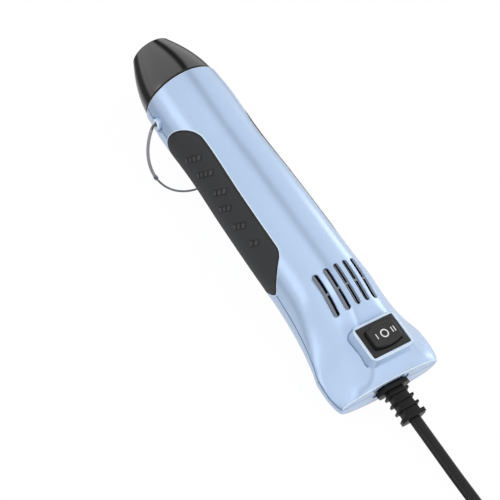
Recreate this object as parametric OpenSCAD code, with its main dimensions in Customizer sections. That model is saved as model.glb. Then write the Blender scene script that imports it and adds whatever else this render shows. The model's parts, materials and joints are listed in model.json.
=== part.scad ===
// Embossing heat tool. Tool axes: X from the rear face towards the outlet, Y left, Z up.
// The finished tool is drawn as it stands: nose raised on its wire stand, outlet mouth at the origin.

/* [Housing] */
// Length from the rear face to the front edge of the housing
housing_len = 205; // [195:1:215]
// Wall thickness of the two moulded shells
wall = 2.2; // [1.8:0.1:2.6]
// Thickness of the rear end wall
rear_wall = 2.4; // [2:0.2:3]

/* [Nose] */
// Length of the nose cone in front of the housing
nose_len = 33; // [30:1:36]
// Radius of the nose cone where it meets the housing
nose_r = 22.4; // [22.2:0.1:22.6]
// Radius of the nose cone at its tip
tip_r = 12.5; // [11.7:0.1:12.5]
// Radius of the bore that the hot air leaves through
outlet_r = 9.6; // [9:0.1:9.8]
// Length of the outlet bore
outlet_len = 12; // [10:0.5:12]

/* [Vents] */
// Number of air slots on top
vent_count = 5; // [3:2:5]
// Length of each slot
vent_len = 24.4; // [20:0.2:25]
// Width of each slot
vent_w = 2.9; // [2:0.1:3.2]
// Distance between slots
vent_pitch = 6.33; // [6:0.01:6.5]

/* [Switch] */
// Distance from the rear face to the centre of the switch
switch_x = 19; // [18.5:0.5:19.5]
// Length of the switch bezel along the tool
bezel_l = 17.7; // [17:0.1:18]
// Width of the switch bezel across the tool
bezel_w = 24.1; // [23.6:0.1:24.4]
// Height of the raised plinth above the axis
plinth_top = 22; // [21.6:0.1:22.4]

/* [Grips] */
// Depth of the rubber grips in the housing
grip_depth = 1.3; // [1:0.1:1.4]
// Half height of a grip, measured up and down from the parting line
grip_half = 17.2; // [16:0.1:17.4]

/* [Stand] */
// Distance from the rear face to the stand's pivot
pivot_x = 193; // [192:0.5:194]
// Radius of the wire
wire_r = 0.8; // [0.7:0.05:0.9]
// Radius of the stand's ring, to the middle of the wire
ring_r = 32; // [31.5:0.1:32.5]
// Distance from the pivot to the centre of the ring
ring_s = 17.5; // [17:0.1:18]
// Angle of the ring below the tool's axis when it stands
ring_angle = 60; // [55:1:65]

/* [Cord] */
// Width of the flat twin cord
cord_w = 6.8; // [6.4:0.1:7]
// Thickness of the flat twin cord
cord_t = 3.4; // [3:0.1:3.6]
// Turns in each of the two layers of the coil
coil_turns = 2.5; // [2:0.5:2.5]

/* [Hidden] */
$fn = 48;

// Housing outline: half width on the parting line, height above it and depth below it, by station
half_width = [[0, 31.9], [4, 33.5], [10, 34.3], [18, 34], [28, 31.1], [40, 28.2], [55, 26],
    [72, 24.9], [95, 24.8], [125, 24.4], [160, 23.4], [188, 24], [205, 23.2]];
top_height = [[0, 9.4], [7, 13], [16, 16.6], [28, 19.4], [40, 21.6], [52, 23.7], [64, 24.8],
    [95, 24.8], [125, 24.4], [160, 23.4], [188, 24], [205, 23.2]];
bottom_depth = [[0, 13.2], [4, 16.2], [12, 19.6], [22, 22.2], [36, 24], [52, 24.8],
    [95, 24.8], [125, 24.4], [160, 23.4], [188, 24], [205, 23.2]];
// Exponent of the section: 1 is an ellipse, above 1 hollows the flank, below 1 squares it
top_bulge = [[0, 1.1], [10, 2.2], [24, 2.1], [40, 1.5], [58, 1], [205, 1]];
bottom_bulge = [[0, 0.65], [8, 0.9], [24, 1], [205, 1]];
arc_steps = 24;
stations = concat([0, rear_wall], [for (x = [6 : 4 : 62]) x], [for (k = [0 : 9]) 70 + 15 * k]);
core_stations = [1, 6, 12, 18, 24, 32, 42, 54, 66, 130, 180, 192];

tip_x = housing_len + nose_len;
vent_x = 52.4;
grip_front_x = 164.7;
bend_r = 2;
pivot_y = sqrt(pow(ring_r - bend_r, 2) - pow(ring_s - bend_r, 2));
boss_y = pivot_y - 0.5;
screw_spots = [[14, 22], [62, 17.5], [187, 18.2]];
relief_end = -21;
rocker_z = 19.5;

// Resting tilt: the ring's lowest point and the heel of the lower shell touch one plane
heel_x = 26;
heel_z = -value(bottom_depth, heel_x);
ring_low = [pivot_x - (ring_s + ring_r) * cos(ring_angle), -(ring_s + ring_r) * sin(ring_angle)];
base_run = ring_low[0] - heel_x;
base_drop = heel_z - ring_low[1];
tilt = atan(base_drop / base_run) + asin(wire_r / norm([base_run, base_drop]));
floor_z = (heel_x - tip_x) * sin(tilt) + heel_z * cos(tilt);
exit_point = [(relief_end - tip_x) * cos(tilt), 0, (relief_end - tip_x) * sin(tilt)];

// Free cord from the relief: distance behind the exit, sideways, height above the floor
route = [[58, 0, 7.6], [71.5, 2.8, 5.6], [84, 11.1, 4.4], [92.6, 23, 4.2], [101, 35, 4.3],
    [113.6, 43.2, 4.4]];
// Plug lead on top of the coil: from the coil's centre backwards, sideways, height above the floor
plug_route = [[8, 45.6, 12.8], [18, 43.1, 15.6], [27, 38.2, 18.8], [33.8, 31, 21.6],
    [37.2, 22, 23.2], [38, 14, 23.7], [38, 8, 23.7]];
coil_behind = 136;
coil_out = 46;
coil_in = 33;
coil_centre = [exit_point[0] - coil_behind, 0, floor_z];
layer_z = [cord_w / 2 + 1, cord_w * 1.5 + 1.7];

// Value and slope through a short list of stations, with rounded steps between them
function find(k, x) = len([for (j = [1 : len(k) - 2]) if (k[j][0] <= x) 1]);
function rise(k, i) = (k[i + 1][1] - k[i][1]) / (k[i + 1][0] - k[i][0]);
function slope(k, i) = i == 0 ? rise(k, 0) : i == len(k) - 1 ? rise(k, i - 1)
    : rise(k, i - 1) * rise(k, i) <= 0 ? 0
    : 2 * rise(k, i - 1) * rise(k, i) / (rise(k, i - 1) + rise(k, i));
function value(k, x) = let(i = find(k, x), h = k[i + 1][0] - k[i][0], t = (x - k[i][0]) / h)
    k[i][1] * (1 + 2 * t) * (1 - t) * (1 - t) + slope(k, i) * h * t * (1 - t) * (1 - t)
    + k[i + 1][1] * t * t * (3 - 2 * t) + slope(k, i + 1) * h * t * t * (t - 1);

// One point of the housing's section, a degrees round from the left parting line
function skin(x, a, side, inset) = let(
    w = value(half_width, x) - inset,
    h = value(side > 0 ? top_height : bottom_depth, x) - inset,
    b = value(side > 0 ? top_bulge : bottom_bulge, x))
    [x, w * cos(a), side * h * pow(sin(a), b)];
function skin_row(x, side, inset) =
    [for (k = [0 : arc_steps]) skin(x, 180 * k / arc_steps, side, inset)];
function flip(faces, side) = side > 0 ? faces
    : [for (f = faces) [for (i = [len(f) - 1 : -1 : 0]) f[i]]];
function revolve_r(x, inset) = value(half_width, x) - inset;

// Tube helpers for cords and leads
function unit(v) = v / norm(v);
function tangent(p, i) = unit(p[min(i + 1, len(p) - 1)] - p[max(i - 1, 0)]);
function ring(c, t, roll, a, b, n) = let(
    side = unit(cross([0, 0, 1], t)),
    up = cross(t, side),
    u = side * cos(roll) + up * sin(roll),
    v = up * cos(roll) - side * sin(roll))
    [for (k = [0 : n - 1]) c + u * a * cos(360 * (k + 0.5) / n) + v * b * sin(360 * (k + 0.5) / n)];
function bend(p, i, t) = let(
    a = p[max(i - 1, 0)], b = p[i], c = p[i + 1], d = p[min(i + 2, len(p) - 1)])
    0.5 * (2 * b + (c - a) * t + (2 * a - 5 * b + 4 * c - d) * t * t
    + (3 * b - a - 3 * c + d) * t * t * t);
function smooth(p, n) = concat(
    [for (i = [0 : len(p) - 2], k = [0 : n - 1]) bend(p, i, k / n)], [p[len(p) - 1]]);

module sweep(p, rolls, a, b, n) {
    last = len(p) - 1;
    points = [for (i = [0 : last]) each ring(p[i], tangent(p, i), rolls[i], a, b, n)];
    walls = [for (i = [0 : last - 1], k = [0 : n - 1]) let(m = (k + 1) % n)
        each [[i * n + k, (i + 1) * n + k, i * n + m], [i * n + m, (i + 1) * n + k, (i + 1) * n + m]]];
    caps = [[for (k = [0 : n - 1]) k], [for (k = [n - 1 : -1 : 0]) last * n + k]];
    polyhedron(points, concat(walls, caps));
}

// Turns the tool so that it stands, with its outlet mouth at the origin
module stand_up() {
    rotate([0, -tilt, 0]) translate([-tip_x, 0, 0]) children();
}
module along(x) {
    translate([x, 0, 0]) rotate([0, 90, 0]) children();
}
module tube(x1, x2, r, bore) {
    along(x1) difference() {
        cylinder(h = x2 - x1, r = r);
        translate([0, 0, -1]) cylinder(h = x2 - x1 + 2, r = bore);
    }
}
module box(x, y, z) {
    translate([x[0], y[0], z[0]]) cube([x[1] - x[0], y[1] - y[0], z[1] - z[0]]);
}
module both_sides() {
    children();
    mirror([0, 1, 0]) children();
}

// One moulded half of the housing: outer skin, inner skin, rear wall and parting face
module half_shell(side) {
    n = len(stations) - 1;
    m = arc_steps;
    row = m + 1;
    points = concat(
        [for (x = stations) each skin_row(x, side, 0)],
        [for (i = [1 : n]) each skin_row(stations[i], side, wall)]);
    inner = (n + 1) * row - row;
    outside = [for (i = [0 : n - 1], k = [0 : m - 1]) let(a = i * row + k)
        each [[a, a + row, a + 1], [a + 1, a + row, a + row + 1]]];
    inside = [for (i = [1 : n - 1], k = [0 : m - 1]) let(a = inner + i * row + k)
        each [[a, a + 1, a + row], [a + 1, a + row + 1, a + row]]];
    rim = [for (k = [0 : m - 1]) let(a = n * row + k, b = inner + n * row + k)
        each [[a, b, a + 1], [a + 1, b, b + 1]]];
    seam = [for (i = [1 : n - 1]) let(a = i * row, b = inner + i * row, c = a + m, d = b + m)
        each [[a, b, a + row], [a + row, b, b + row], [c, c + row, d], [d, c + row, d + row]]];
    ends = [[for (k = [0 : m]) k], [for (k = [m : -1 : 0]) inner + row + k],
        [0, m, row + m], [0, row + m, inner + row + m], [0, inner + row + m, inner + row],
        [0, inner + row, row]];
    polyhedron(points, flip(concat(outside, inside, rim, seam, ends), side));
}
// Solid core of one half, set in from the outer skin, that trims the posts and ribs
module half_core(side) {
    n = len(core_stations) - 1;
    m = 12;
    row = m + 1;
    points = [for (x = core_stations, k = [0 : m]) skin(x, 180 * k / m, side, wall * 0.6)];
    outside = [for (i = [0 : n - 1], k = [0 : m - 1]) let(a = i * row + k)
        each [[a, a + row, a + 1], [a + 1, a + row, a + row + 1]]];
    ends = [[for (k = [0 : m]) k], [for (k = [m : -1 : 0]) n * row + k],
        concat([for (i = [n : -1 : 0]) i * row], [for (i = [0 : n]) i * row + m])];
    polyhedron(points, flip(concat(outside, ends), side));
}
// Posts that take the housing screws, cut to the half they belong to
module posts(side, r) {
    both_sides() for (s = screw_spots)
        translate([s[0], s[1], side > 0 ? 0 : -30]) cylinder(h = 30, r = r, $fn = 24);
}
module screw_holes(side) {
    both_sides() for (s = screw_spots) translate([s[0], s[1], 0]) {
        if (side > 0) translate([0, 0, -1]) cylinder(h = 6.5, r = 1.4);
        if (side < 0) {
            translate([0, 0, -20]) cylinder(h = 21, r = 1.6);
            translate([0, 0, -40]) cylinder(h = 34, r = 2.9);
        }
    }
}
// Side outline of a grip, seen square to the parting plane
module grip_outline(gap) {
    h = grip_half - gap;
    front = [for (a = [-90 : 10 : 90]) [grip_front_x + h * cos(a), h * sin(a)]];
    rear = [[88 + gap, h], [84.5 + gap, 15.7 - gap], [81 + gap, 12.6 - gap], [74.5 + gap, 3],
        [73.6 + gap, 0], [74.5 + gap, -3], [81 + gap, gap - 12.6], [84.5 + gap, gap - 15.7],
        [88 + gap, -h]];
    polygon(concat(front, rear));
}
module grip_prism(gap) {
    translate([0, 40, 0]) rotate([90, 0, 0]) linear_extrude(38) grip_outline(gap);
}
module barrel(inset) {
    profile = [for (x = [66 : 4 : 190]) [revolve_r(x, inset), x]];
    along(0) rotate_extrude($fn = 96) polygon(concat([[0, 66]], profile, [[0, 190]]));
}
module grip_pocket() {
    both_sides() difference() {
        grip_prism(0);
        barrel(grip_depth + 0.1);
    }
}
module relief_slot() {
    box([-1, rear_wall + 1], [-6.8, 6.8], [-3.2, 3.2]);
    along(-1) linear_extrude(2.2) polygon([[7.6, 9], [5, 12.6], [-5, 12.6], [-7.6, 9], [-7.6, -9],
        [-5, -12.6], [5, -12.6], [7.6, -9]]);
}
module pivot_boss(side) {
    both_sides() intersection() {
        translate([pivot_x, 0, 0]) rotate([-90, 0, 0]) rotate_extrude() polygon([[0, 18.5],
            [4.6, 18.5], [4.2, boss_y - 1.6], [3.6, boss_y - 0.6], [2.6, boss_y - 0.15],
            [1.6, boss_y], [0, boss_y]]);
        box([pivot_x - 6, pivot_x + 6], [17, 30], side > 0 ? [0, 6] : [-6, 0]);
    }
}
module pivot_hole() {
    both_sides() translate([pivot_x, 20, 0]) rotate([-90, 0, 0])
        cylinder(h = 8, r = wire_r + 0.05);
}
module slot(w, l, h) {
    translate([0, 0, -h / 2]) {
        translate([-(l - w) / 2, -w / 2, 0]) cube([l - w, w, h]);
        for (s = [-1, 1]) translate([s * (l - w) / 2, 0, 0]) cylinder(h = h, r = w / 2, $fn = 24);
    }
}
module vents() {
    half = (vent_count - 1) / 2;
    for (k = [-half : half]) translate([vent_x, k * vent_pitch, 22]) slot(vent_w, vent_len, 16);
}
module rounded(l, w, r) {
    square([l - 2 * r, w], center = true);
    square([l, w - 2 * r], center = true);
    for (a = [-1, 1], b = [-1, 1]) translate([a * (l / 2 - r), b * (w / 2 - r)]) circle(r, $fn = 24);
}
module plinth() {
    translate([switch_x, 0, 9]) linear_extrude(plinth_top - 9, scale = [0.794, 0.827], slices = 1)
        rounded(26.2, 32.4, 4.5);
}
module switch_well() {
    box([switch_x - 9.4, switch_x + 9.4], [-12.2, 12.2], [0.5, plinth_top - 2.2]);
    box([switch_x - 7.3, switch_x + 7.3], [-10.8, 10.8], [0.5, plinth_top + 1]);
    translate([switch_x, 0, plinth_top - 0.9]) linear_extrude(2)
        rounded(bezel_l + 0.3, bezel_w + 0.3, 0.8);
}

module upper_housing() {
    color("lightsteelblue") difference() {
        union() {
            half_shell(1);
            plinth();
            pivot_boss(1);
            intersection() {
                half_core(1);
                union() {
                    posts(1, 3.4);
                    difference() {
                        box([51.6, 53.2], [-16, 16], [12, 26]);
                        along(50) cylinder(h = 5, r = 20.4);
                    }
                }
            }
        }
        difference() {
            vents();
            intersection() {
                box([51.6, 53.2], [-16, 16], [12, 26]);
                along(50) cylinder(h = 5, r = 22.2);
            }
        }
        switch_well();
        relief_slot();
        grip_pocket();
        pivot_hole();
        screw_holes(1);
    }
}
module lower_housing() {
    color("lightsteelblue") difference() {
        union() {
            half_shell(-1);
            pivot_boss(-1);
            intersection() {
                half_core(-1);
                union() {
                    posts(-1, 4.3);
                    both_sides() box([7, 11], [5.2, 9.4], [-20, -1.9]);
                    both_sides() for (x = [38, 56]) box([x - 1.6, x + 1.6], [6, 9], [-26, -14.2]);
                }
            }
        }
        relief_slot();
        grip_pocket();
        pivot_hole();
        screw_holes(-1);
        both_sides() translate([9, 7.3, -9]) cylinder(h = 10, r = 1.1);
    }
}
// Soft grip: a curved pad with six rows of raised bars, fewer towards the rear
bar_rows = [4, 4, 3, 3, 3, 2];
module grip() {
    difference() {
        intersection() {
            grip_prism(0.15);
            barrel(0);
        }
        barrel(grip_depth);
    }
    for (i = [0 : 5], j = [0 : bar_rows[i] - 1]) {
        x = 160 - 12.2 * i;
        angle = 19 + 7.2 * (j - (bar_rows[i] - 1) / 2);
        rotate([angle, 0, 0]) translate([x, revolve_r(x, 0) - 0.3, 0])
            rotate([0, -9, 0]) cube([3, 1.4, 2], center = true);
    }
}
module left_grip() {
    color("dimgray") grip();
}
module right_grip() {
    color("dimgray") mirror([0, 1, 0]) grip();
}

// Curved heat guard with a rolled lip at the outlet
function nose_curve(u) = nose_r - (nose_r - tip_r) * pow(u, 1.7);
module nose_cone() {
    steps = 14;
    skin = 1.2;
    outer = [for (k = [0 : steps]) [nose_curve(k / steps), housing_len + (nose_len - 0.9) * k / steps]];
    inner = [for (k = [steps - 1 : -1 : 1])
        [nose_curve(k / steps) - skin, housing_len + (nose_len - 0.9) * k / steps]];
    lip = [[tip_r - 0.35, tip_x - 0.25], [tip_r - 0.8, tip_x], [outlet_r + 1.1, tip_x],
        [outlet_r + 1.1, tip_x - 2]];
    spigot = [[20.5 - skin, housing_len + 1.4], [20.5 - skin, housing_len - 3],
        [20.5, housing_len - 3], [20.5, housing_len]];
    color("darkslategray") along(0)
        rotate_extrude($fn = 72) polygon(concat(outer, lip, inner, spigot));
}
module outlet_collar() {
    base = tip_x - outlet_len;
    color("silver") along(base) difference() {
        union() {
            cylinder(h = outlet_len, r = outlet_r + 1);
            cylinder(h = 2.4, r = 11.85);
        }
        translate([0, 0, -1]) cylinder(h = outlet_len + 2, r = outlet_r);
    }
}
module heat_tube() {
    color("silver") tube(132, 230, 12.4, 11.9);
}
module mica_sleeve() {
    color("wheat") tube(136, 224, 11.8, 11.3);
}
module mica_cross() {
    color("wheat") for (a = [0, 90]) rotate([a, 0, 0]) {
        box([142, 218], [-8.9, 8.9], [-0.4, 0.4]);
        for (x = [140, 217]) box([x, x + 3], [-11.2, 11.2], [-0.4, 0.4]);
    }
}
// Resistance wire wound round the mica cross, with straight ends
module heating_coil() {
    turns = 13;
    steps = 8;
    r = 9.65;
    pitch = 4.8;
    wound = [for (k = [0 : turns * steps])
        let(a = 360 * k / steps - 45) [148 + pitch * k / steps, r * cos(a), r * sin(a)]];
    last = wound[len(wound) - 1];
    path = concat([wound[0] - [2, 0, 0]], wound, [last + [2, 0, 0]]);
    echo(heating_coil_gap = pitch - 0.9);
    color("dimgray") sweep(path, [for (p = path) 0], 0.45, 0.45, 6);
}
module thermal_fuse() {
    color("gainsboro") translate([0, 6, 6]) {
        along(122) cylinder(h = 9, r = 1.6, $fn = 24);
        along(131) cylinder(h = 6, r = 0.4, $fn = 16);
    }
}
module front_insulator() {
    color("wheat") difference() {
        tube(198, 201.8, 20.7, 12.45);
        for (a = [30 : 60 : 330])
            rotate([a, 0, 0]) translate([0, 0, 16.7]) along(197) cylinder(h = 6, r = 1.8);
    }
}
module air_funnel() {
    color("beige") along(0) rotate_extrude($fn = 72)
        polygon([[22, 124], [22, 127], [13.6, 138], [13.6, 146], [12.45, 146], [12.45, 138],
            [20.8, 127], [20.8, 124]]);
}
module motor() {
    color("silver") difference() {
        union() {
            along(92) cylinder(h = 30, r = 12.2);
            along(90) cylinder(h = 34, r = 4);
            both_sides() box([118, 124], [7, 8], [-1.4, 1.4]);
        }
        along(80) cylinder(h = 60, r = 1.05);
    }
}
module motor_mount() {
    color("black") {
        tube(104, 110, 22.25, 20.8);
        tube(104, 110, 13.4, 12.2);
        for (a = [0 : 90 : 270]) rotate([a + 45, 0, 0]) box([105, 109], [13, 21.2], [-1, 1]);
    }
}
module motor_shaft() {
    color("lightgray") along(73) cylinder(h = 49.5, r = 1);
}
module fan_wheel() {
    color("white") difference() {
        union() {
            along(74) cylinder(h = 11, r = 5);
            intersection() {
                for (k = [0 : 6]) rotate([360 * k / 7, 0, 0]) translate([79.5, 0, 12])
                    rotate([0, 0, 38]) cube([1.2, 13, 16], center = true);
                along(74) cylinder(h = 11, r = 19.6);
            }
        }
        along(70) cylinder(h = 20, r = 1);
    }
}
module rectifier_board() {
    color("darkgreen") box([35, 59], [-10, 10], [-14.2, -12.8]);
    color("black") for (x = [38.5, 42.5], y = [-5, 5])
        translate([x, y - 2.6, -11.2]) rotate([-90, 0, 0]) cylinder(h = 5.2, r = 1.4, $fn = 24);
    color("black") for (x = [38.5, 42.5], y = [-5, 5])
        box([x - 0.5, x + 0.5], [y - 2, y + 2], [-13, -11.8]);
    color("royalblue") translate([52, 0, -13]) cylinder(h = 9, r = 4, $fn = 32);
}
// Switch body with its bezel, rocker opening and pivot holes
module switch_housing() {
    color("black") difference() {
        union() {
            translate([switch_x, 0, plinth_top - 0.9]) linear_extrude(0.8)
                rounded(bezel_l, bezel_w, 0.7);
            box([switch_x - 7.1, switch_x + 7.1], [-10.6, 10.6], [6, plinth_top - 0.5]);
        }
        translate([switch_x, 0, 13]) linear_extrude(plinth_top - 12) rocker_plan(0.35, 9.6);
        translate([0, 0, rocker_z]) along(switch_x - 8) cylinder(h = 16, r = 1.25);
    }
}
// Plan of the rocker and of its opening: straight ends and bulged long sides
module rocker_plan(gap, reach) {
    side = [for (k = [0 : 8]) let(u = k / 4 - 1) [5 + gap + 1.1 * (1 - u * u), u * reach]];
    polygon(concat(side, [for (k = [8 : -1 : 0]) [-side[k][0], side[k][1]]]));
}
// Rocker with a hollowed top and pivot stubs
module rocker() {
    top = [for (k = [0 : 8]) let(y = -8.9 + 2.225 * k) [y, 23.9 + 1.1 * pow(y / 8.9, 2)]];
    color("black") {
        intersection() {
            translate([switch_x - 7, 0, 0]) rotate([90, 0, 90]) linear_extrude(14)
                polygon(concat(top, [[8.7, 21.6], [8.2, 18.6], [5, 16.2], [-5, 16.2], [-8.2, 18.6],
                    [-8.7, 21.6]]));
            translate([switch_x, 0, 15]) linear_extrude(12) rocker_plan(0, 9.2);
        }
        translate([0, 0, rocker_z]) along(switch_x - 7) cylinder(h = 14, r = 1.2);
    }
}
module switch_terminals() {
    color("goldenrod") for (y = [-7, 0, 7])
        box([switch_x - 2.4, switch_x + 2.4], [y - 0.4, y + 0.4], [0.5, 7]);
}

// Wire stand: two pivot ends, two bends and one ring, all in one plane
module stand_wire() {
    turn = acos((ring_s - bend_r) / (ring_r - bend_r));
    color("silver") translate([pivot_x, 0, 0]) rotate([0, -ring_angle, 0]) mirror([1, 0, 0]) {
        both_sides() {
            translate([0, 20.4, 0]) rotate([-90, 0, 0]) cylinder(h = pivot_y - 20.42, r = wire_r);
            translate([0, pivot_y, 0]) sphere(wire_r + 0.08);
            translate([bend_r, pivot_y, 0]) rotate([0, 0, 180.5 - turn])
                rotate_extrude(angle = turn - 1) translate([bend_r, 0]) circle(wire_r, $fn = 24);
            translate([ring_s - ring_r * cos(turn), ring_r * sin(turn), 0]) sphere(wire_r + 0.08);
        }
        translate([ring_s, 0, 0]) rotate([0, 0, turn - 179.96])
            rotate_extrude(angle = 359.92 - 2 * turn, $fn = 96) translate([ring_r, 0])
                circle(wire_r, $fn = 24);
    }
}

// Plate with bevelled ends, across the cord
module relief_plate(x, t, w, flat, h) {
    along(x) linear_extrude(t) polygon([[h, flat], [0, w], [-h, flat], [-h, -flat], [0, -w], [h, -flat]]);
}
module strain_relief() {
    color("black") {
        relief_plate(-3, 2.6, 11, 7, 5.6);
        relief_plate(-1, 2.2, 8.6, 6, 4.6);
        box([-19, -2], [-4.7, 4.7], [-2.9, 2.9]);
        for (x = [-6, -10.6, -15.2]) relief_plate(x, 1.3, 7, 6, 4.2);
        relief_plate(relief_end, 2.3, 7.2, 6, 4.6);
        box([-1, 5.6], [-6.75, 6.75], [-3.15, 3.15]);
        box([rear_wall + 0.2, 5.6], [-8.6, 8.6], [-4.4, 4.4]);
    }
}
module cord_tail() {
    color("dimgray") translate([5.6, 0, 0]) along(0) linear_extrude(9.4)
        square([cord_t, cord_w], center = true);
}
module cord_clamp() {
    color("silver") difference() {
        union() {
            box([7, 11], [-9.4, 9.4], [cord_t / 2, 3.6]);
            both_sides() box([7, 11], [5.2, 9.4], [-1.9, 3.6]);
        }
        both_sides() translate([9, 7.3, -3]) cylinder(h = 8, r = 1.3);
    }
}
module clamp_screws() {
    color("silver") both_sides() translate([9, 7.3, -8.6]) {
        cylinder(h = 12.2, r = 1.07);
        translate([0, 0, 12.2]) cylinder(h = 1.4, r = 2);
    }
}
module housing_screws() {
    color("silver") both_sides() for (s = screw_spots) translate([s[0], s[1], -6]) {
        cylinder(h = 11, r = 1.37);
        translate([0, 0, -2]) cylinder(h = 2, r = 2.6);
    }
}
// Inner leads: cord to switch, switch to board, and board to heater
module inner_leads() {
    leads = [[[15, 1.6, 0], [17, 2.2, -3], [19, 0.6, -1.5], [19, 0, 0.5]],
        [[15, -1.6, 0], [22, -4, -6], [30, -6, -10], [37, -6, -12.2]],
        [[58, 6, -12.2], [64, 10.5, -18], [80, 12, -17.8], [96, 11, -18], [107, 9.5, -15.8],
            [118, 9, -13], [128, 7.4, -8], [138, 6.8, -6.8], [146, 6.8, -6.8]]];
    color("firebrick") for (p = leads) let(q = smooth(p, 3)) sweep(q, [for (i = q) 0], 0.8, 0.8, 6);
}

// Cord: drawn where it lies, outside the tool's own tilt
free_ends = [exit_point, exit_point - 34 * [cos(tilt), 0, sin(tilt)]];
free_route = concat(free_ends,
    [for (p = route) [exit_point[0] - p[0], p[1], floor_z + p[2]]],
    [coil_centre + [6.8, coil_out, layer_z[0]], coil_centre + [0, coil_out, layer_z[0]]]);
function lay(u) = 90 * max(0, min(1, (u - 0.2) / 0.35));
module power_cord() {
    path = smooth(free_route, 4);
    n = len(path) - 1;
    color("black") sweep(path, [for (i = [0 : n]) lay(i / n)], cord_w / 2, cord_t / 2, 8);
}
// Coil: in along the lower layer, a climb at the turn, and out along the upper layer
coil_steps = 24;
coil_count = 2 * coil_turns * coil_steps;
function coil_r(k) = let(h = coil_count / 2) k < h ? coil_out - (coil_out - coil_in) * k / h
    : coil_in + (coil_out - coil_in) * (k - h) / h;
function coil_h(k) = let(u = 3 * (k - coil_count / 2) / coil_steps + 0.5)
    layer_z[0] + (layer_z[1] - layer_z[0]) * max(0, min(1, u));
coil_path = [for (k = [0 : coil_count]) let(a = 90 + 360 * k / coil_steps)
    coil_centre + [coil_r(k) * cos(a), coil_r(k) * sin(a), coil_h(k)]];
module cord_coil() {
    gaps = [for (i = [0 : coil_count], j = [i + coil_steps / 2 : coil_count])
        let(d = coil_path[j] - coil_path[i])
        max(norm([d[0], d[1]]) - cord_t, abs(d[2]) - cord_w)];
    echo(coil_gap = min(gaps));
    echo(coil_length = len_of(coil_path), free_length = len_of(smooth(free_route, 4)),
        lead_length = len_of(smooth(lead_route, 4)));
    color("black") sweep(coil_path, [for (p = coil_path) 90], cord_w / 2, cord_t / 2, 6);
}
function len_of(p) = let(d = [for (i = [1 : len(p) - 1]) norm(p[i] - p[i - 1])])
    d * [for (i = d) 1];
coil_last = coil_path[len(coil_path) - 1];
lead_route = concat([coil_last], [for (p = plug_route) coil_centre + [-p[0], p[1], p[2]]]);
plug_base = plug_route[6][2] - 8.2;
plug_at = coil_centre + [-plug_route[6][0], plug_route[6][1], plug_base];
function lead_roll(u) = 90 - 90 * max(0, min(1, (u - 0.25) / 0.5));
module plug_lead() {
    path = smooth(lead_route, 4);
    n = len(path) - 1;
    color("black") sweep(path, [for (i = [0 : n]) lead_roll(i / n)], cord_w / 2, cord_t / 2, 8);
}
module cord_tie() {
    color("dimgray") translate(coil_centre + [0, -39.5, 0]) difference() {
        box([-3, 3], [-9.4, 9.4], [0, 16.5]);
        box([-4, 4], [-8.6, 8.6], [0.8, 15.7]);
    }
}
module plug_body() {
    color("black") translate(plug_at) rotate([0, 0, 90]) {
        box([-22, -6], [-10.5, 10.5], [0, 16.4]);
        box([-6, 0], [-5.5, 5.5], [4.4, 12]);
    }
}
module plug_blades() {
    color("silver") translate(plug_at) rotate([0, 0, 90]) for (s = [-1, 1])
        box([-38, -20], [s * 6.35 - 0.75, s * 6.35 + 0.75], [5, 11.4]);
}

stand_up() upper_housing();
stand_up() lower_housing();
stand_up() left_grip();
stand_up() right_grip();
stand_up() nose_cone();
stand_up() outlet_collar();
stand_up() heat_tube();
stand_up() mica_sleeve();
stand_up() mica_cross();
stand_up() heating_coil();
stand_up() thermal_fuse();
stand_up() front_insulator();
stand_up() air_funnel();
stand_up() motor();
stand_up() motor_mount();
stand_up() motor_shaft();
stand_up() fan_wheel();
stand_up() rectifier_board();
stand_up() switch_housing();
stand_up() rocker();
stand_up() switch_terminals();
stand_up() stand_wire();
stand_up() strain_relief();
stand_up() cord_tail();
stand_up() cord_clamp();
stand_up() clamp_screws();
stand_up() housing_screws();
stand_up() inner_leads();
power_cord();
cord_coil();
plug_lead();
cord_tie();
plug_body();
plug_blades();
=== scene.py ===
"""Embossing heat tool: moulded housing, rubber grips, nose cone, rocker switch, wire stand and flat cord."""

import json
import math

import bmesh
import bpy
from bpy.props import FloatProperty, FloatVectorProperty, IntProperty, PointerProperty
from mathutils import Matrix, Vector


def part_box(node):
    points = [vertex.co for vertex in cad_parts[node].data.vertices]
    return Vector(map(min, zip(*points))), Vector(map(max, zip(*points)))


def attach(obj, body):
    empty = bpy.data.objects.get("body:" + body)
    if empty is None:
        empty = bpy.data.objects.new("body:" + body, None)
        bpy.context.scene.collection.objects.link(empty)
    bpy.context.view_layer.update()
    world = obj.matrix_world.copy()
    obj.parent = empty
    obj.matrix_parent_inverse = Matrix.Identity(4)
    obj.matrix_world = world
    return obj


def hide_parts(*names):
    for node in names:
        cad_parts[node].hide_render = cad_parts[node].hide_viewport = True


bl_info = {
    "name": "Embossing heat tool",
    "version": (1, 0, 0),
    "blender": (4, 5, 0),
    "location": "View3D > Sidebar > Heat tool",
    "description": "Dresses a hand-held embossing heat tool with smooth housings, grips and finishes",
    "category": "Object",
}

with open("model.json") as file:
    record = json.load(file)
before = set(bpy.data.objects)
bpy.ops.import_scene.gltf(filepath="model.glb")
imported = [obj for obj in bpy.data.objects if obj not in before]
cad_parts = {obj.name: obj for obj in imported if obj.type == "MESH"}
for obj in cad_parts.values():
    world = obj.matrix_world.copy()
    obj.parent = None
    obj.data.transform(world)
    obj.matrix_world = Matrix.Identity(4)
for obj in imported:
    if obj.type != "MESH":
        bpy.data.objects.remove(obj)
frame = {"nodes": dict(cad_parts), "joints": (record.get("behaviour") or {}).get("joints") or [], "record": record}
JOINTS = {joint["name"]: joint for joint in frame["joints"]}
FAN_AXIS = Vector(JOINTS["fan_spin"]["axis"])
TILT = math.atan2(FAN_AXIS.z, FAN_AXIS.x)

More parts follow.
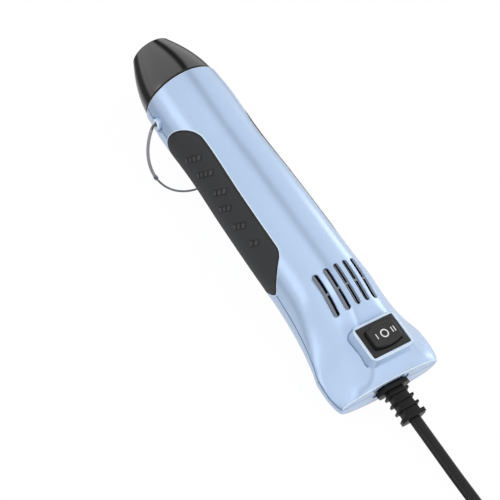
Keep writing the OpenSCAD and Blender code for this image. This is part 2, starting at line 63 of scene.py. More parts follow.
# Tool axes, in millimetres: X from the rear face to the outlet, Y left, Z up
MM = 1000.0
TIP_X = 238.0
TOOL_TO_FRAME = (
    Matrix.Rotation(-TILT, 4, "Y")
    @ Matrix.Translation((-TIP_X / MM, 0, 0))
    @ Matrix.Diagonal((1 / MM, 1 / MM, 1 / MM, 1))
)
FLOOR_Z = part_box("stand_wire")[0].z

# Housing outline by station: half width on the parting line, height above it, depth below it
HALF_WIDTH = (
    (0, 31.9), (4, 33.5), (10, 34.3), (18, 34), (28, 31.1), (40, 28.2), (55, 26),
    (72, 24.9), (95, 24.8), (125, 24.4), (160, 23.4), (188, 24), (205, 23.2),
)
TOP_HEIGHT = (
    (0, 9.4), (7, 13), (16, 16.6), (28, 19.4), (40, 21.6), (52, 23.7), (64, 24.8),
    (95, 24.8), (125, 24.4), (160, 23.4), (188, 24), (205, 23.2),
)
BOTTOM_DEPTH = (
    (0, 13.2), (4, 16.2), (12, 19.6), (22, 22.2), (36, 24), (52, 24.8), (95, 24.8),
    (125, 24.4), (160, 23.4), (188, 24), (205, 23.2),
)
# Exponent of the section: 1 is an ellipse, above 1 hollows the flank, below 1 squares it
TOP_BULGE = ((0, 1.1), (10, 2.2), (24, 2.1), (40, 1.5), (58, 1), (205, 1))
BOTTOM_BULGE = ((0, 0.65), (8, 0.9), (24, 1), (205, 1))
# Rises and falls of the upper skin: raised beside and behind the plinth, rolled up along its edge
# and hollowed by one valley left of the plinth, whose middle is at a share of the half width
SHOULDER = ((0, 0), (6, 1.6), (12, 2.7), (22, 2.5), (32, 1.2), (44, 0), (205, 0))
TAIL = ((0, 0), (4, 1.6), (9, 2.7), (14, 2.4), (22, 1), (30, 0), (205, 0))
VALLEY = ((0, 0.5), (8, 1.6), (18, 1.9), (34, 1.5), (48, 0.4), (58, 0), (205, 0))
VALLEY_AT = ((0, 0.56), (8, 0.54), (25, 0.48), (40, 0.4), (58, 0.36), (205, 0.36))
VALLEY_SPREAD = 0.16
ROLL = ((0, 1.5), (6, 4.5), (14, 5.5), (30, 3.5), (44, 1.5), (62, 0), (205, 0))
# Brings the shoulder's form across the tool to a peak of 1
SHOULDER_GAIN = 14.9


def rise(table, i):
    return (table[i + 1][1] - table[i][1]) / (table[i + 1][0] - table[i][0])


def slope(table, i):
    """Slope of the rounded curve at station i, never past its neighbours."""
    if i == 0:
        return rise(table, 0)
    if i == len(table) - 1:
        return rise(table, i - 1)
    before, after = rise(table, i - 1), rise(table, i)
    return 0.0 if before * after <= 0 else 2 * before * after / (before + after)


def value(table, x):
    """Value at x of a smooth curve through a table of stations."""
    i = max(0, min(len(table) - 2, sum(1 for s in table[1:-1] if s[0] <= x)))
    step = table[i + 1][0] - table[i][0]
    t = (x - table[i][0]) / step
    return (
        table[i][1] * (1 + 2 * t) * (1 - t) ** 2
        + slope(table, i) * step * t * (1 - t) ** 2
        + table[i + 1][1] * t * t * (3 - 2 * t)
        + slope(table, i + 1) * step * t * t * (t - 1)
    )


def outline(x, side):
    """Half width, height and flank exponent of one half at station x."""
    heights, bulges = (TOP_HEIGHT, TOP_BULGE) if side > 0 else (BOTTOM_DEPTH, BOTTOM_BULGE)
    return value(HALF_WIDTH, x), value(heights, x), value(bulges, x)


def skin(x, angle, side, inset=0.0):
    """Point of the housing's skin, angle degrees round from the left parting line."""
    width, height, bulge = outline(x, side)
    turn = math.radians(angle)
    lift = max(0.0, math.sin(turn)) ** bulge
    up = (height - inset) * lift + rolled(x, math.cos(turn), side)
    return Vector((x, (width - inset) * math.cos(turn), side * up))


def rolled(x, share, side=1):
    """Extra height of the upper flank at a share of the half width."""
    if side < 0:
        return 0.0
    left = max(0.0, 1 - share * share)
    roll = value(ROLL, x) * left ** 0.5 * share ** 8
    shoulder = value(SHOULDER, x) * SHOULDER_GAIN * share ** 2 * left ** 5
    tail = value(TAIL, x) * left ** 2
    off = (share - value(VALLEY_AT, x)) / VALLEY_SPREAD
    return roll + (shoulder + tail) - value(VALLEY, x) * math.exp(-off ** 2)


def roof(p):
    """Point of the upper skin over (x, y)."""
    width, height, bulge = outline(p[0], 1)
    lift = max(0.0, 1 - (p[1] / width) ** 2) ** (bulge / 2)
    return Vector((p[0], p[1], height * lift + rolled(p[0], min(1.0, p[1] / width))))


def flank(p, inset=0.0):
    """Point of the left skin beside (x, z)."""
    width, height, bulge = outline(p[0], 1 if p[1] >= 0 else -1)
    height -= inset
    out = max(0.0, 1 - (min(1.0, abs(p[1]) / height)) ** (2 / bulge)) ** 0.5
    return Vector((p[0], (width - inset) * out, p[1]))


def clamped(share):
    """A share held between 0 and 1."""
    return max(0.0, min(1.0, share))


def circle(radius, count):
    """Points of a circle round the origin, as pairs."""
    turns = (2 * math.pi * k / count for k in range(count))
    return [(radius * math.cos(a), radius * math.sin(a)) for a in turns]


def quarter(radius, reach):
    """How far a rounded edge of that radius is set in at a distance from the edge."""
    rest = max(0.0, radius - reach)
    return radius - math.sqrt(max(0.0, radius * radius - rest * rest))


# Sizes that a user would change


class HousingSizes(bpy.types.PropertyGroup):
    length: FloatProperty(
        name="Length", description="Rear face to the housing's front edge",
        default=0.205, unit="LENGTH",
    )
    wall: FloatProperty(
        name="Wall", description="Thickness of the moulded shells", default=0.0022, unit="LENGTH",
    )
    edge: FloatProperty(
        name="Edge radius", description="Rounding of the outer edges",
        default=0.0006, unit="LENGTH",
    )
    seam: FloatProperty(
        name="Seam radius", description="Rounding along the parting line",
        default=0.0004, unit="LENGTH",
    )
    slots: IntProperty(name="Air slots", description="Number of air slots", default=5, min=1)
    slot_length: FloatProperty(
        name="Slot length", description="Length of each air slot", default=0.0244, unit="LENGTH",
    )
    slot_width: FloatProperty(
        name="Slot width", description="Width of each air slot", default=0.0029, unit="LENGTH",
    )
    slot_pitch: FloatProperty(
        name="Slot pitch", description="Distance between slots", default=0.00633, unit="LENGTH",
    )


class SwitchSizes(bpy.types.PropertyGroup):
    plinth_top: FloatProperty(
        name="Plinth height", description="Top of the plinth above the tool's axis",
        default=0.022, unit="LENGTH",
    )
    bezel_length: FloatProperty(
        name="Bezel length", description="Bezel along the tool", default=0.0177, unit="LENGTH",
    )
    bezel_width: FloatProperty(
        name="Bezel width", description="Bezel across the tool", default=0.0241, unit="LENGTH",
    )


class GripSizes(bpy.types.PropertyGroup):
    half_height: FloatProperty(
        name="Half height", description="Grip's reach above and below the parting line",
        default=0.0172, unit="LENGTH",
    )
    front: FloatProperty(
        name="Front", description="Station where the grip's round end starts",
        default=0.1647, unit="LENGTH",
    )
    gap: FloatProperty(
        name="Gap", description="Shadow gap round the grip", default=0.0004, unit="LENGTH",
    )
    bar_height: FloatProperty(
        name="Bar height", description="How far the small bars stand proud",
        default=0.0005, unit="LENGTH",
    )


class CordSizes(bpy.types.PropertyGroup):
    width: FloatProperty(
        name="Width", description="Width of the flat twin cord", default=0.0068, unit="LENGTH",
    )
    thickness: FloatProperty(
        name="Thickness", description="Thickness of the flat twin cord",
        default=0.0034, unit="LENGTH",
    )
    length: FloatProperty(
        name="Length", description="Length from relief to plug", default=1.457, unit="LENGTH",
    )


class Finishes(bpy.types.PropertyGroup):
    shell: FloatVectorProperty(
        name="Shell", description="Pearl blue of the housing", subtype="COLOR",
        default=(0.467, 0.606, 0.826),
    )
    rubber: FloatVectorProperty(
        name="Grip rubber", description="Charcoal of the grips", subtype="COLOR",
        default=(0.026, 0.027, 0.030),
    )
    nose: FloatVectorProperty(
        name="Nose", description="Black of the nose cone", subtype="COLOR",
        default=(0.008, 0.008, 0.008),
    )
    switch: FloatVectorProperty(
        name="Switch", description="Black of bezel and rocker", subtype="COLOR",
        default=(0.013, 0.013, 0.0135),
    )
    marks: FloatVectorProperty(
        name="Marks", description="Paint of the rocker's marks", subtype="COLOR",
        default=(0.8, 0.8, 0.8),
    )
    cord: FloatVectorProperty(
        name="Cord", description="Black of cord and relief", subtype="COLOR",
        default=(0.007, 0.007, 0.0075),
    )


def sizes(name):
    return getattr(bpy.context.scene, "heat_tool_" + name)


# Finishes


FINISHES = {}
# Scale of the slow drift in colour
DRIFT_SCALE = 35.0
COAT_ROUGHNESS = 0.08
# Painted shade: hollows, found by ambient occlusion, take a deeper colour: how far they are felt, between which
# levels, and how deep
PAINTED_SHADE_REACH = 0.007
PAINTED_SHADE_LEVELS = (0.35, 0.95)
PAINTED_SHADE_GAMMA = 1.7


def feed(tree, node, inputs):
    """Gives each named or numbered input a plain value, or a link from an output."""
    for key, given in inputs.items():
        if isinstance(given, bpy.types.NodeSocket):
            tree.links.new(given, node.inputs[key])
        else:
            node.inputs[key].default_value = given


def added(tree, kind, inputs=(), **settings):
    """Adds a shader node with its settings and inputs."""
    node = tree.nodes.new("ShaderNode" + kind)
    for name, setting in settings.items():
        setattr(node, name, setting)
    feed(tree, node, dict(inputs))
    return node


def maths(tree, operation, *given):
    """A maths node fed by sockets or plain numbers; gives its output."""
    return added(tree, "Math", enumerate(given), operation=operation).outputs[0]


def faded(tree, given, low, high, start, end):
    """Smoothly fades from start to end as a socket goes from low to high."""
    inputs = {"Value": given, "From Min": low, "From Max": high, "To Min": start, "To Max": end}
    return added(tree, "MapRange", inputs, interpolation_type="SMOOTHSTEP").outputs["Result"]


def mixed(tree, share, first, second):
    """A colour between two others, by a share; gives its output."""
    inputs = {"Factor": share, "A": first, "B": second}
    return added(tree, "Mix", inputs, data_type="RGBA").outputs["Result"]


def toned(colour, level):
    """A colour made lighter or darker, with full alpha."""
    return (*(min(1.0, c * level) for c in colour), 1)


def finish(name, colour, roughness, grain=900.0, depth=0.02, drift=0.06, metallic=0.0,
           coat=0.0, ior=1.5, stretch=(1.0, 1.0, 1.0), vary=0.12, hollow=0.0):
    """A procedural finish: fine grain in bump and roughness, slow drift in colour.

    Grain is the noise's scale and depth its height in millimetres; drift and vary are shares, and
    hollow is the share of painted shade, a deeper colour laid on hollows by ambient occlusion.
    """
    made = bpy.data.materials.new(name)
    made.use_nodes = True
    tree = made.node_tree
    place = added(tree, "TexCoord").outputs["Object"]
    spot = added(tree, "Mapping", {"Vector": place, "Scale": stretch}).outputs["Vector"]
    fine = added(tree, "TexNoise", {"Vector": spot, "Scale": grain, "Detail": 4.0}).outputs["Fac"]
    bump = added(tree, "Bump", {"Height": fine, "Strength": 1.0, "Distance": depth / MM})
    spread = added(tree, "MapRange", {
        "Value": fine,
        "To Min": roughness * (1 - vary),
        "To Max": min(1.0, roughness * (1 + vary)),
    })
    slow = added(tree, "TexNoise", {"Vector": spot, "Scale": DRIFT_SCALE}).outputs["Fac"]
    shown = mixed(tree, slow, toned(colour, 1 - drift), toned(colour, 1 + drift))
    # Painted shade: ambient occlusion darkens the colour in hollows
    if hollow:
        shade = added(tree, "AmbientOcclusion", {"Distance": PAINTED_SHADE_REACH}, samples=8)
        share = faded(tree, shade.outputs["AO"], *PAINTED_SHADE_LEVELS, hollow, 0.0)
        shown = mixed(tree, share, shown, (*(c ** PAINTED_SHADE_GAMMA for c in colour), 1))
    feed(tree, tree.nodes["Principled BSDF"], {
        "Base Color": shown,
        "Metallic": metallic,
        "IOR": ior,
        "Coat Weight": coat,
        "Coat Roughness": COAT_ROUGHNESS,
        "Roughness": spread.outputs["Result"],
        "Normal": bump.outputs["Normal"],
    })
    made.diffuse_color = (*colour, 1)
    FINISHES[name] = made


# Colour, roughness, grain, depth in millimetres and drift of the finishes that no user changes
FIXED_FINISHES = {
    "sleeve_grey": ((0.30, 0.29, 0.32), 0.45, 1200, 0.0003, 0.04),
    "wire_steel": ((0.15, 0.16, 0.18), 0.2, 1200, 0.0003, 0.04),
    "inner_steel": ((0.5, 0.5, 0.5), 0.34, 1500, 0.01, 0.08),
    "mica": ((0.62, 0.54, 0.4), 0.62, 700, 0.03, 0.2),
    "fan_white": ((0.7, 0.7, 0.68), 0.5, 1500, 0.01, 0.03),
    "board_green": ((0.012, 0.05, 0.022), 0.4, 900, 0.02, 0.15),
    "contact_brass": ((0.72, 0.5, 0.2), 0.26, 1500, 0.006, 0.06),
    "lead_red": ((0.42, 0.03, 0.02), 0.4, 1500, 0.01, 0.1),
    # Painted highlight: a near-white blue for edges, the grips' rim bands and the bosses' eyes
    "highlight_blue": ((0.72, 0.82, 0.93), 0.25, 2600, 0.0001, 0.01),
    # Painted shadow: the dark strip in the seam's groove
    "seam_shadow_blue": ((0.10, 0.15, 0.27), 0.5, 2400, 0.002, 0.02),
    # Painted shade: a dark blue for the slot walls and the line along the plinth's foot
    "shade_blue": ((0.16, 0.23, 0.37), 0.4, 900, 0.001, 0.06),
    # Painted highlight on the plinth's rim
    "rim_highlight_blue": ((0.62, 0.73, 0.88), 0.25, 900, 0.001, 0.06),
    # Painted light: a lighter copy of the grip rubber for the cells
    "lit_rubber_grey": ((0.042, 0.042, 0.045), 0.5, 2200, 0.01, 0.04),
    # Painted shade: a near-black for the grips' beds and the nose's stepped base
    "shade_black": ((0.006, 0.006, 0.006), 0.6, 2200, 0.01, 0.04),
    # Painted shade: a black sheet under each slot
    "slot_shade_black": ((0.004, 0.004, 0.0045), 0.8, 2400, 0.0, 0.02),
    "vane_grey": ((0.17, 0.187, 0.225), 0.5, 2400, 0.004, 0.04),
}
# What sets some of them apart from plain plastic
SPECIAL = {
    "wire_steel": {"metallic": 1.0},
    "inner_steel": {"metallic": 1.0, "stretch": (0.15, 1, 1)},
    "contact_brass": {"metallic": 1.0},
    "shade_blue": {"vary": 0.02},
    "rim_highlight_blue": {"vary": 0.02},
    "slot_shade_black": {"ior": 1.01},
}


def finishes():
    """Every finish of the tool, by the record's slot name, made once."""
    if FINISHES:
        return FINISHES
    paint = sizes("finishes")
    # The shell's colour carries painted shade in its hollows
    finish("shell_blue", paint.shell, 0.27, 2600, 0.0001, 0.01, metallic=0.3, coat=0.1,
           vary=0.02, hollow=0.75)
    finish("grip_rubber", paint.rubber, 0.75, 2200, 0.02, 0.04)
    finish("nose_black", paint.nose, 0.14, 1800, 0.0002, 0.03, ior=1.85)
    finish("black_plastic", paint.switch, 0.5, 3200, 0.02, 0.05)
    finish("relief_black", paint.cord, 0.42, 2400, 0.015, 0.08, ior=1.32)
    finish("cord_black", paint.cord, 0.36, 1500, 0.012, 0.08, ior=1.36)
    finish("mark_paint", paint.marks, 0.45, 3000, 0.004, 0.02)
    for name, row in FIXED_FINISHES.items():
        finish(name, *row, **SPECIAL.get(name, {}))
    return FINISHES


# Modelling helpers: points closer than MERGE, in millimetres, become one


MERGE = 0.0005


def moulded(bm, around, along, place):
    """A grid of around by along faces, each corner moved to place(u, v)."""
    made = bmesh.ops.create_grid(bm, x_segments=around, y_segments=along, size=0.5)
    for vert in made["verts"]:
        vert.co = place(vert.co.x + 0.5, vert.co.y + 0.5)
    return made["verts"]


def lofted(bm, rings):
    """A skin through closed rings of equally many points."""
    count = len(rings[0])

    def place(u, v):
        return rings[round(v * (len(rings) - 1))][round(u * count) % count]

    verts = moulded(bm, count, len(rings) - 1, place)
    bmesh.ops.remove_doubles(bm, verts=verts, dist=MERGE)


def close_holes(bm):
    """Caps every open ring."""
    edges = [edge for edge in bm.edges if edge.is_boundary]
    bmesh.ops.holes_fill(bm, edges=edges, sides=0)


def spun(bm, profile, steps):
    """Turns a profile of (x, radius) pairs round the tool's axis."""
    verts = [bm.verts.new(Vector((x, 0, r))) for x, r in profile]
    edges = [bm.edges.new(pair) for pair in zip(verts, verts[1:])]
    bmesh.ops.spin(bm, geom=verts + edges, cent=(0, 0, 0), axis=(1, 0, 0), angle=2 * math.pi,
                   steps=steps, use_merge=True)
    bmesh.ops.remove_doubles(bm, verts=bm.verts, dist=MERGE)


def block(bm, x, y, z):
    """A box between pairs of limits."""
    middle = Vector(((x[0] + x[1]) / 2, (y[0] + y[1]) / 2, (z[0] + z[1]) / 2))
    scale = Matrix.Diagonal((x[1] - x[0], y[1] - y[0], z[1] - z[0], 1))
    return bmesh.ops.create_cube(bm, size=1.0, matrix=Matrix.Translation(middle) @ scale)["verts"]


def to_object(name, bm):
    """Links a bmesh to the scene as it is."""
    mesh = bpy.data.meshes.new(name)
    bm.to_mesh(mesh)
    bm.free()
    made = bpy.data.objects.new(name, mesh)
    bpy.context.scene.collection.objects.link(made)
    return made


def mirrored(bm, sign=-1):
    """Turns a left-hand shape into its right-hand twin when the sign is negative."""
    if sign < 0:
        bmesh.ops.scale(bm, vec=(1, -1, 1), verts=bm.verts)


def carve(bm, cutters):
    """Cuts closed meshes out of a closed mesh and gives the result as a new bmesh."""
    body = to_object("carving", bm)
    tools = []
    for cutter in cutters:
        bmesh.ops.recalc_face_normals(cutter, faces=cutter.faces)
        tool = to_object("cutter", cutter)
        tools.append(tool)
        modifier = body.modifiers.new("cut", "BOOLEAN")
        modifier.operation = "DIFFERENCE"
        modifier.solver = "EXACT"
        modifier.object = tool
    graph = bpy.context.evaluated_depsgraph_get()
    result = bmesh.new()
    result.from_mesh(body.evaluated_get(graph).to_mesh())
    for old in [body] + tools:
        mesh = old.data
        bpy.data.objects.remove(old)
        bpy.data.meshes.remove(mesh)
    return result


def piece(name, bm, slot, body="housing", stands_for=(), crease=32.0, material=None, tool=True,
          recalc=True):
    """Makes a finished piece of a bmesh, drawn in tool axes unless it is in the frame's already."""
    if recalc:
        bmesh.ops.recalc_face_normals(bm, faces=bm.faces)
    if tool:
        bmesh.ops.transform(bm, matrix=TOOL_TO_FRAME, verts=bm.verts)
    made = to_object(name, bm)
    mesh = made.data
    mesh.shade_smooth()
    mesh.set_sharp_from_angle(angle=math.radians(crease))
    mesh.materials.append(finishes()[material or slot])
    if stands_for:
        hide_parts(*stands_for)
    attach(made, body)
    return made


def second_finish(made, slot, chosen):
    """Gives one more finish to the faces that chosen(centre in tool axes, normal) picks."""
    made.data.materials.append(finishes()[slot])
    index = len(made.data.materials) - 1
    to_tool = TOOL_TO_FRAME.inverted()
    for face in made.data.polygons:
        if chosen(to_tool @ face.center, face.normal):
            face.material_index = index


# Corners of a CAD node's copy turn sharper than this, in radians
SHARP = 0.5


def bevelled_copy(name, node, slot, width, segments=2, material=None):
    """A merged copy of a CAD node with its sharp edges rounded."""
    bm = bmesh.new()
    bm.from_mesh(frame["nodes"][node].data)
    bmesh.ops.remove_doubles(bm, verts=bm.verts, dist=2e-6)
    bmesh.ops.dissolve_limit(bm, angle_limit=math.radians(1), verts=bm.verts, edges=bm.edges)
    sharp = [e for e in bm.edges if len(e.link_faces) == 2 and e.calc_face_angle() > SHARP]
    bmesh.ops.bevel(bm, geom=sharp, offset=width / MM, offset_type="OFFSET", segments=segments,
                    profile=0.5, affect="EDGES", clamp_overlap=True, material=-1)
    return piece(name, bm, slot, stands_for=[node], material=material, tool=False)


# Signs of a rectangle's corners in turn, and the steps of a corner and of a side
CORNERS = ((1, 1), (-1, 1), (-1, -1), (1, -1))
CORNER_STEPS, SIDE_STEPS = 8, 4


def rounded_rect(half_x, half_y, radius, z, centre_x=0.0):
    """Points of a rounded rectangle seen from above, with the outward direction of each."""
    middle = Vector((centre_x, 0, z))
    centres = [Vector((sx * (half_x - radius), sy * (half_y - radius), 0)) for sx, sy in CORNERS]
    points = []
    for turn, centre in enumerate(centres):
        for k in range(CORNER_STEPS + 1):
            a = math.radians(90 * turn + 90 * k / CORNER_STEPS)
            way = Vector((math.cos(a), math.sin(a), 0))
            points.append((centre + way * radius + middle, way))
        after = centres[(turn + 1) % len(centres)]
        for k in range(1, SIDE_STEPS):
            points.append((centre.lerp(after, k / SIDE_STEPS) + way * radius + middle, way))
    return points


def places(points):
    """The points of a list of (point, outward way) pairs."""
    return [p for p, way in points]


def rect_ring(*args):
    return places(rounded_rect(*args))


def rect_rings(half_x, half_y, top, rows):
    """Rings round the switch, from rows of (growth, corner radius, depth under the top)."""
    return [rect_ring(half_x + grow, half_y + grow, radius, top - drop, SWITCH_X)
            for grow, radius, drop in rows]


def heading(path, i):
    """Direction of a path at its point i."""
    return (path[min(i + 1, len(path) - 1)] - path[max(i - 1, 0)]).normalized()


def swept(bm, path, rolls, section):
    """A tube along a path: section is a list of (across, up) pairs, turned by each roll."""
    rings = []
    for i, spot in enumerate(path):
        way = heading(path, i)
        side = Vector((0, 0, 1)).cross(way).normalized()
        up = way.cross(side)
        turn = math.radians(rolls[i])
        across = side * math.cos(turn) + up * math.sin(turn)
        over = up * math.cos(turn) - side * math.sin(turn)
        rings.append([spot + across * a + over * b for a, b in section])
    lofted(bm, rings)
    close_holes(bm)


LIP_STEPS = 5
# How far apart two points of a surface are that give its slope across an edge
PROBE = 0.05


def lip(bm, surface, edge, radius, depth):
    """A rolled lip round an opening: edge is a list of (point, outward way) in the plane."""
    turns = (math.pi / 2 * k / LIP_STEPS for k in range(LIP_STEPS + 1))
    drops = [(radius * (1 - math.sin(a)), radius * (1 - math.cos(a))) for a in turns]
    rings = []
    for out, drop in drops + [(0.0, depth)]:
        ring = []
        for i, (p, way) in enumerate(edge):
            spot = surface(p)
            outward = surface((p[0] + way[0] * PROBE, p[1] + way[1] * PROBE)) - spot
            outward.normalize()
            after, before = edge[(i + 1) % len(edge)][0], edge[i - 1][0]
            along = surface(after) - surface(before)
            normal = outward.cross(along).normalized()
            if normal.dot(Vector((0, spot.y, spot.z))) < 0:
                normal.negate()
            level = along.cross(normal)
            outward = level.normalized() * (1 if outward.dot(level) > 0 else -1)
            ring.append(spot + outward * out - normal * drop)
        rings.append(ring)
    lofted(bm, rings)


# The housing's two halves: sizes in tool axes, in millimetres


# Angles of the skin's points, in degrees, closer at the parting line
ARC_ENDS = [0, 0.2, 0.45, 0.8, 1.3, 2, 3, 4.5]
ARC = ARC_ENDS + [6 + 2.4 * k for k in range(70)] + [180 - a for a in reversed(ARC_ENDS)]
# Where the hollow starts, and how round the front end and the lower seam are beside the other edges
HOLLOW_START = 2.4
FRONT_SHARE, LOWER_SEAM = 0.7, 3.5
# Slots: their middle, lip and lip's depth; those on the right widen by a share at that reach
SLOT_X = 52.4
SLOT_LIP, SLOT_DEPTH = 0.5, 2.4
SLOT_WIDENING, SLOT_REACH = 0.25, 13
SLOT_TURNS, SLOT_SIDES = 12, 8
# Grips: the pocket's lip and its depth, and the stations that the pad's middle line runs between
GRIP_LIP, GRIP_DEPTH = 0.35, 1.5
GRIP_SPINE = (96.0, 164.0)
# The grip's outline: pitch of the points on its straight edge, drop at their end, and its rear
GRIP_PITCH, GRIP_PITCHES = 3.9, 19
GRIP_SHOULDER, GRIP_DROP = 88.4, 0.12
GRIP_REAR = ((86.4, 16.6), (84.5, 15.7), (81, 12.4), (77.8, 8.8), (74.8, 4.9), (72.6, 1.6), (72, 0))
# The switch's middle, its hole's half sizes and corner
SWITCH_X = 19.0
SWITCH_HOLE = (11.2, 14.2, 2.0)
# One corner of the recess round the cord's exit, in half width and half height, and its depth
RECESS_CORNER = ((10.9, 4.4), (8.1, 6.6))
RECESS_DEPTH = 0.6
# The stand's pivot, and the radius of the dish round it
PIVOT_X = 193.0
DISH = 5.0
# How far from the axis the cuts for pockets, dishes and switch start; they end past the housing
POCKET_FROM, DISH_FROM, HOLE_FROM, BEYOND = 8, 15, 4, 40
# The painted shadow in the seam's groove, a dark strip: its distance from the rear, how far it is sunk, its top
# and height
SEAM_X, SEAM_SUNK, SEAM_TOP, SEAM_HEIGHT = 0.36, 0.15, 0.25, 1.2
# The groove across the rear at the parting line: its depth and half height
GROOVE = (0.4, 0.3)
# Edges with a painted highlight: their width at the front and at the rear, where faces turn from the axis
FRONT_HIGHLIGHT, REAR_HIGHLIGHT, TURNED = 0.7, 0.45, 0.93
# Slot walls painted in shade, a darker finish: half width of their field, lowest level, least depth
# under the roof, and how far their faces may look up
SLOT_FIELD, SLOT_FLOOR, SLOT_SKIN, SLOT_UP = 15.4, 10, 0.06, 0.8


def stations(length):
    """Stations along the housing, closer at the rounded ends and the hollow flanks."""
    ends = [0, 0.08, 0.25, 0.5, 1, 1.8]
    rows = ends + [2.8 + 1.4 * k for k in range(44)] + [66 + 4 * k for k in range(35)]
    return [x for x in rows if x < length - 1.2] + [length - x for x in reversed(ends[:5])]


def half_solid(side, length, inset, edge=0.0, seam=0.0):
    """Closed solid of one half; with an inset it is the hollow, open to the parting plane."""
    hollow = inset > 0
    rows = stations(length)
    if hollow:
        rows = [HOLLOW_START] + [x for x in rows if x > HOLLOW_START + 0.2] + [length + 1]
    rings = []
    for x in rows:
        at = min(x, length)
        ends = quarter(edge, at) + quarter(edge * FRONT_SHARE, length - at)
        ring = []
        for a in ARC:
            trim = inset
            if not hollow:
                trim = ends + quarter(seam, abs(skin(at, a, side, ends).z))
            spot = skin(at, a, side, trim)
            spot.x = x
            ring.append(spot)
        if hollow:
            ring += [Vector((x, y, -side)) for y in (ring[-1].y, ring[0].y)]
        rings.append(ring)
    bm = bmesh.new()
    lofted(bm, rings)
    close_holes(bm)
    bmesh.ops.recalc_face_normals(bm, faces=bm.faces)
    return bm


def slot_y(housing, k):
    """Middle of air slot k, counted from the right."""
    return (k - (housing.slots - 1) / 2) * housing.slot_pitch * MM


def slot_edge(housing, k, grow=0.0):
    """Outline of air slot k in plan, with outward ways, grown by a margin."""
    y = slot_y(housing, k)
    half, w = housing.slot_length * MM / 2, housing.slot_width * MM / 2
    w *= 1 + SLOT_WIDENING * max(0.0, -y / SLOT_REACH)
    points = []
    for end in (1, -1):
        centre = SLOT_X + end * (half - w)
        for j in range(SLOT_TURNS + 1):
            a = math.radians(-90 + 180 * j / SLOT_TURNS) + (0 if end > 0 else math.pi)
            way = (math.cos(a), math.sin(a))
            points.append(((centre + way[0] * (w + grow), y + way[1] * (w + grow)), way))
        for j in range(1, SLOT_SIDES):
            x = SLOT_X + end * (half - w) * (1 - 2 * j / SLOT_SIDES)
            points.append(((x, y + end * (w + grow)), (0.0, float(end))))
    return points


def grip_edge(grip, grow=0.0):
    """Outline of the left grip in side view, with outward ways, grown by a margin."""
    half, front = grip.half_height * MM, grip.front * MM
    shape = [(front + half * math.cos(math.radians(a)), half * math.sin(math.radians(a)))
             for a in range(0, 91, 5)]
    shape += [(front - GRIP_PITCH * k, half) for k in range(1, GRIP_PITCHES + 1)]
    shape += [(GRIP_SHOULDER, half - GRIP_DROP), *GRIP_REAR]
    shape += [(x, -z) for x, z in reversed(shape[1:-1])]
    found = []
    for i, (x, z) in enumerate(shape):
        after, before = shape[(i + 1) % len(shape)], shape[i - 1]
        along = Vector((after[0] - before[0], after[1] - before[1], 0)).normalized()
        way = (along.y, -along.x)
        found.append(((x + way[0] * grow, z + way[1] * grow), way))
    return found


def prism(points, place, low, high):
    """Closed cutter: an outline in a plane, drawn between two levels."""
    bm = bmesh.new()
    lofted(bm, [[place(p, level) for p in points] for level in (low, high)])
    close_holes(bm)
    return bm


def upward(p, level):
    return Vector((p[0], p[1], level))


def endways(p, level):
    return Vector((level, p[0], p[1]))


def sideways(sign):
    return lambda p, level: Vector((p[0], sign * level, p[1]))


def boss_ring(radius):
    """A circle round the stand's pivot, in side view."""
    return [(PIVOT_X + x, z) for x, z in circle(radius, 40)]


def recess():
    """Outline of the recess round the cord's exit: a rectangle with its corners cut off."""
    upper = list(RECESS_CORNER) + [(-y, z) for y, z in reversed(RECESS_CORNER)]
    return upper + [(-y, -z) for y, z in upper]


def cut_away(side, housing, grip):
    """What is cut out of one half: hollow, pockets, slots, switch hole, recess, groove and dishes."""
    cutters = [half_solid(side, housing.length * MM, housing.wall * MM)]
    pocket = places(grip_edge(grip, GRIP_LIP))
    cutters += [prism(pocket, sideways(sign), POCKET_FROM, BEYOND) for sign in (1, -1)]
    if side > 0:
        for k in range(housing.slots):
            slot = places(slot_edge(housing, k, SLOT_LIP))
            cutters.append(prism(slot, upward, SLOT_FLOOR, BEYOND))
        hole = rect_ring(*SWITCH_HOLE, 0, SWITCH_X)
        cutters.append(prism(hole, upward, HOLE_FROM, BEYOND))
    cutters.append(prism(recess(), endways, -1, RECESS_DEPTH))
    groove = bmesh.new()
    block(groove, (-1, GROOVE[0]), (-BEYOND, BEYOND), (-GROOVE[1], GROOVE[1]))
    cutters.append(groove)
    dish = boss_ring(DISH)
    return cutters + [prism(dish, sideways(sign), DISH_FROM, BEYOND) for sign in (1, -1)]


def add_lips(solid, side, housing, grip):
    """Rolled lips round the slots, and round one half's share of the grips' pockets."""
    if side > 0:
        for k in range(housing.slots):
            lip(solid, roof, slot_edge(housing, k), SLOT_LIP, SLOT_DEPTH)
    for sign in (1, -1):
        rim = bmesh.new()
        lip(rim, flank, grip_edge(grip), GRIP_LIP, GRIP_DEPTH)
        mirrored(rim, sign)
        bmesh.ops.bisect_plane(
            rim, geom=list(rim.verts) + list(rim.edges) + list(rim.faces),
            plane_co=(0, 0, 0), plane_no=(0, 0, side), clear_inner=True,
        )
        mesh = bpy.data.meshes.new("rim")
        rim.to_mesh(mesh)
        rim.free()
        solid.from_mesh(mesh)
        bpy.data.meshes.remove(mesh)


def seam_shadow(length):
    """A thin dark strip of painted shadow in the seam's groove, round the rear and both sides."""
    line = [skin(x, 0, 1, SEAM_SUNK) for x in [SEAM_X] + stations(length)[4:]]
    across = [Vector((SEAM_X, line[0].y * k / 8, 0)) for k in range(-7, 8)]
    line = [Vector((p.x, -p.y, 0)) for p in reversed(line)] + across + line
    bm = bmesh.new()
    moulded(bm, 1, len(line) - 1, lambda u, v: line[round(v * (len(line) - 1))]
            + Vector((0, 0, SEAM_TOP - SEAM_HEIGHT * u)))
    piece("seam_shadow", bm, "shell_blue", material="seam_shadow_blue", crease=60)


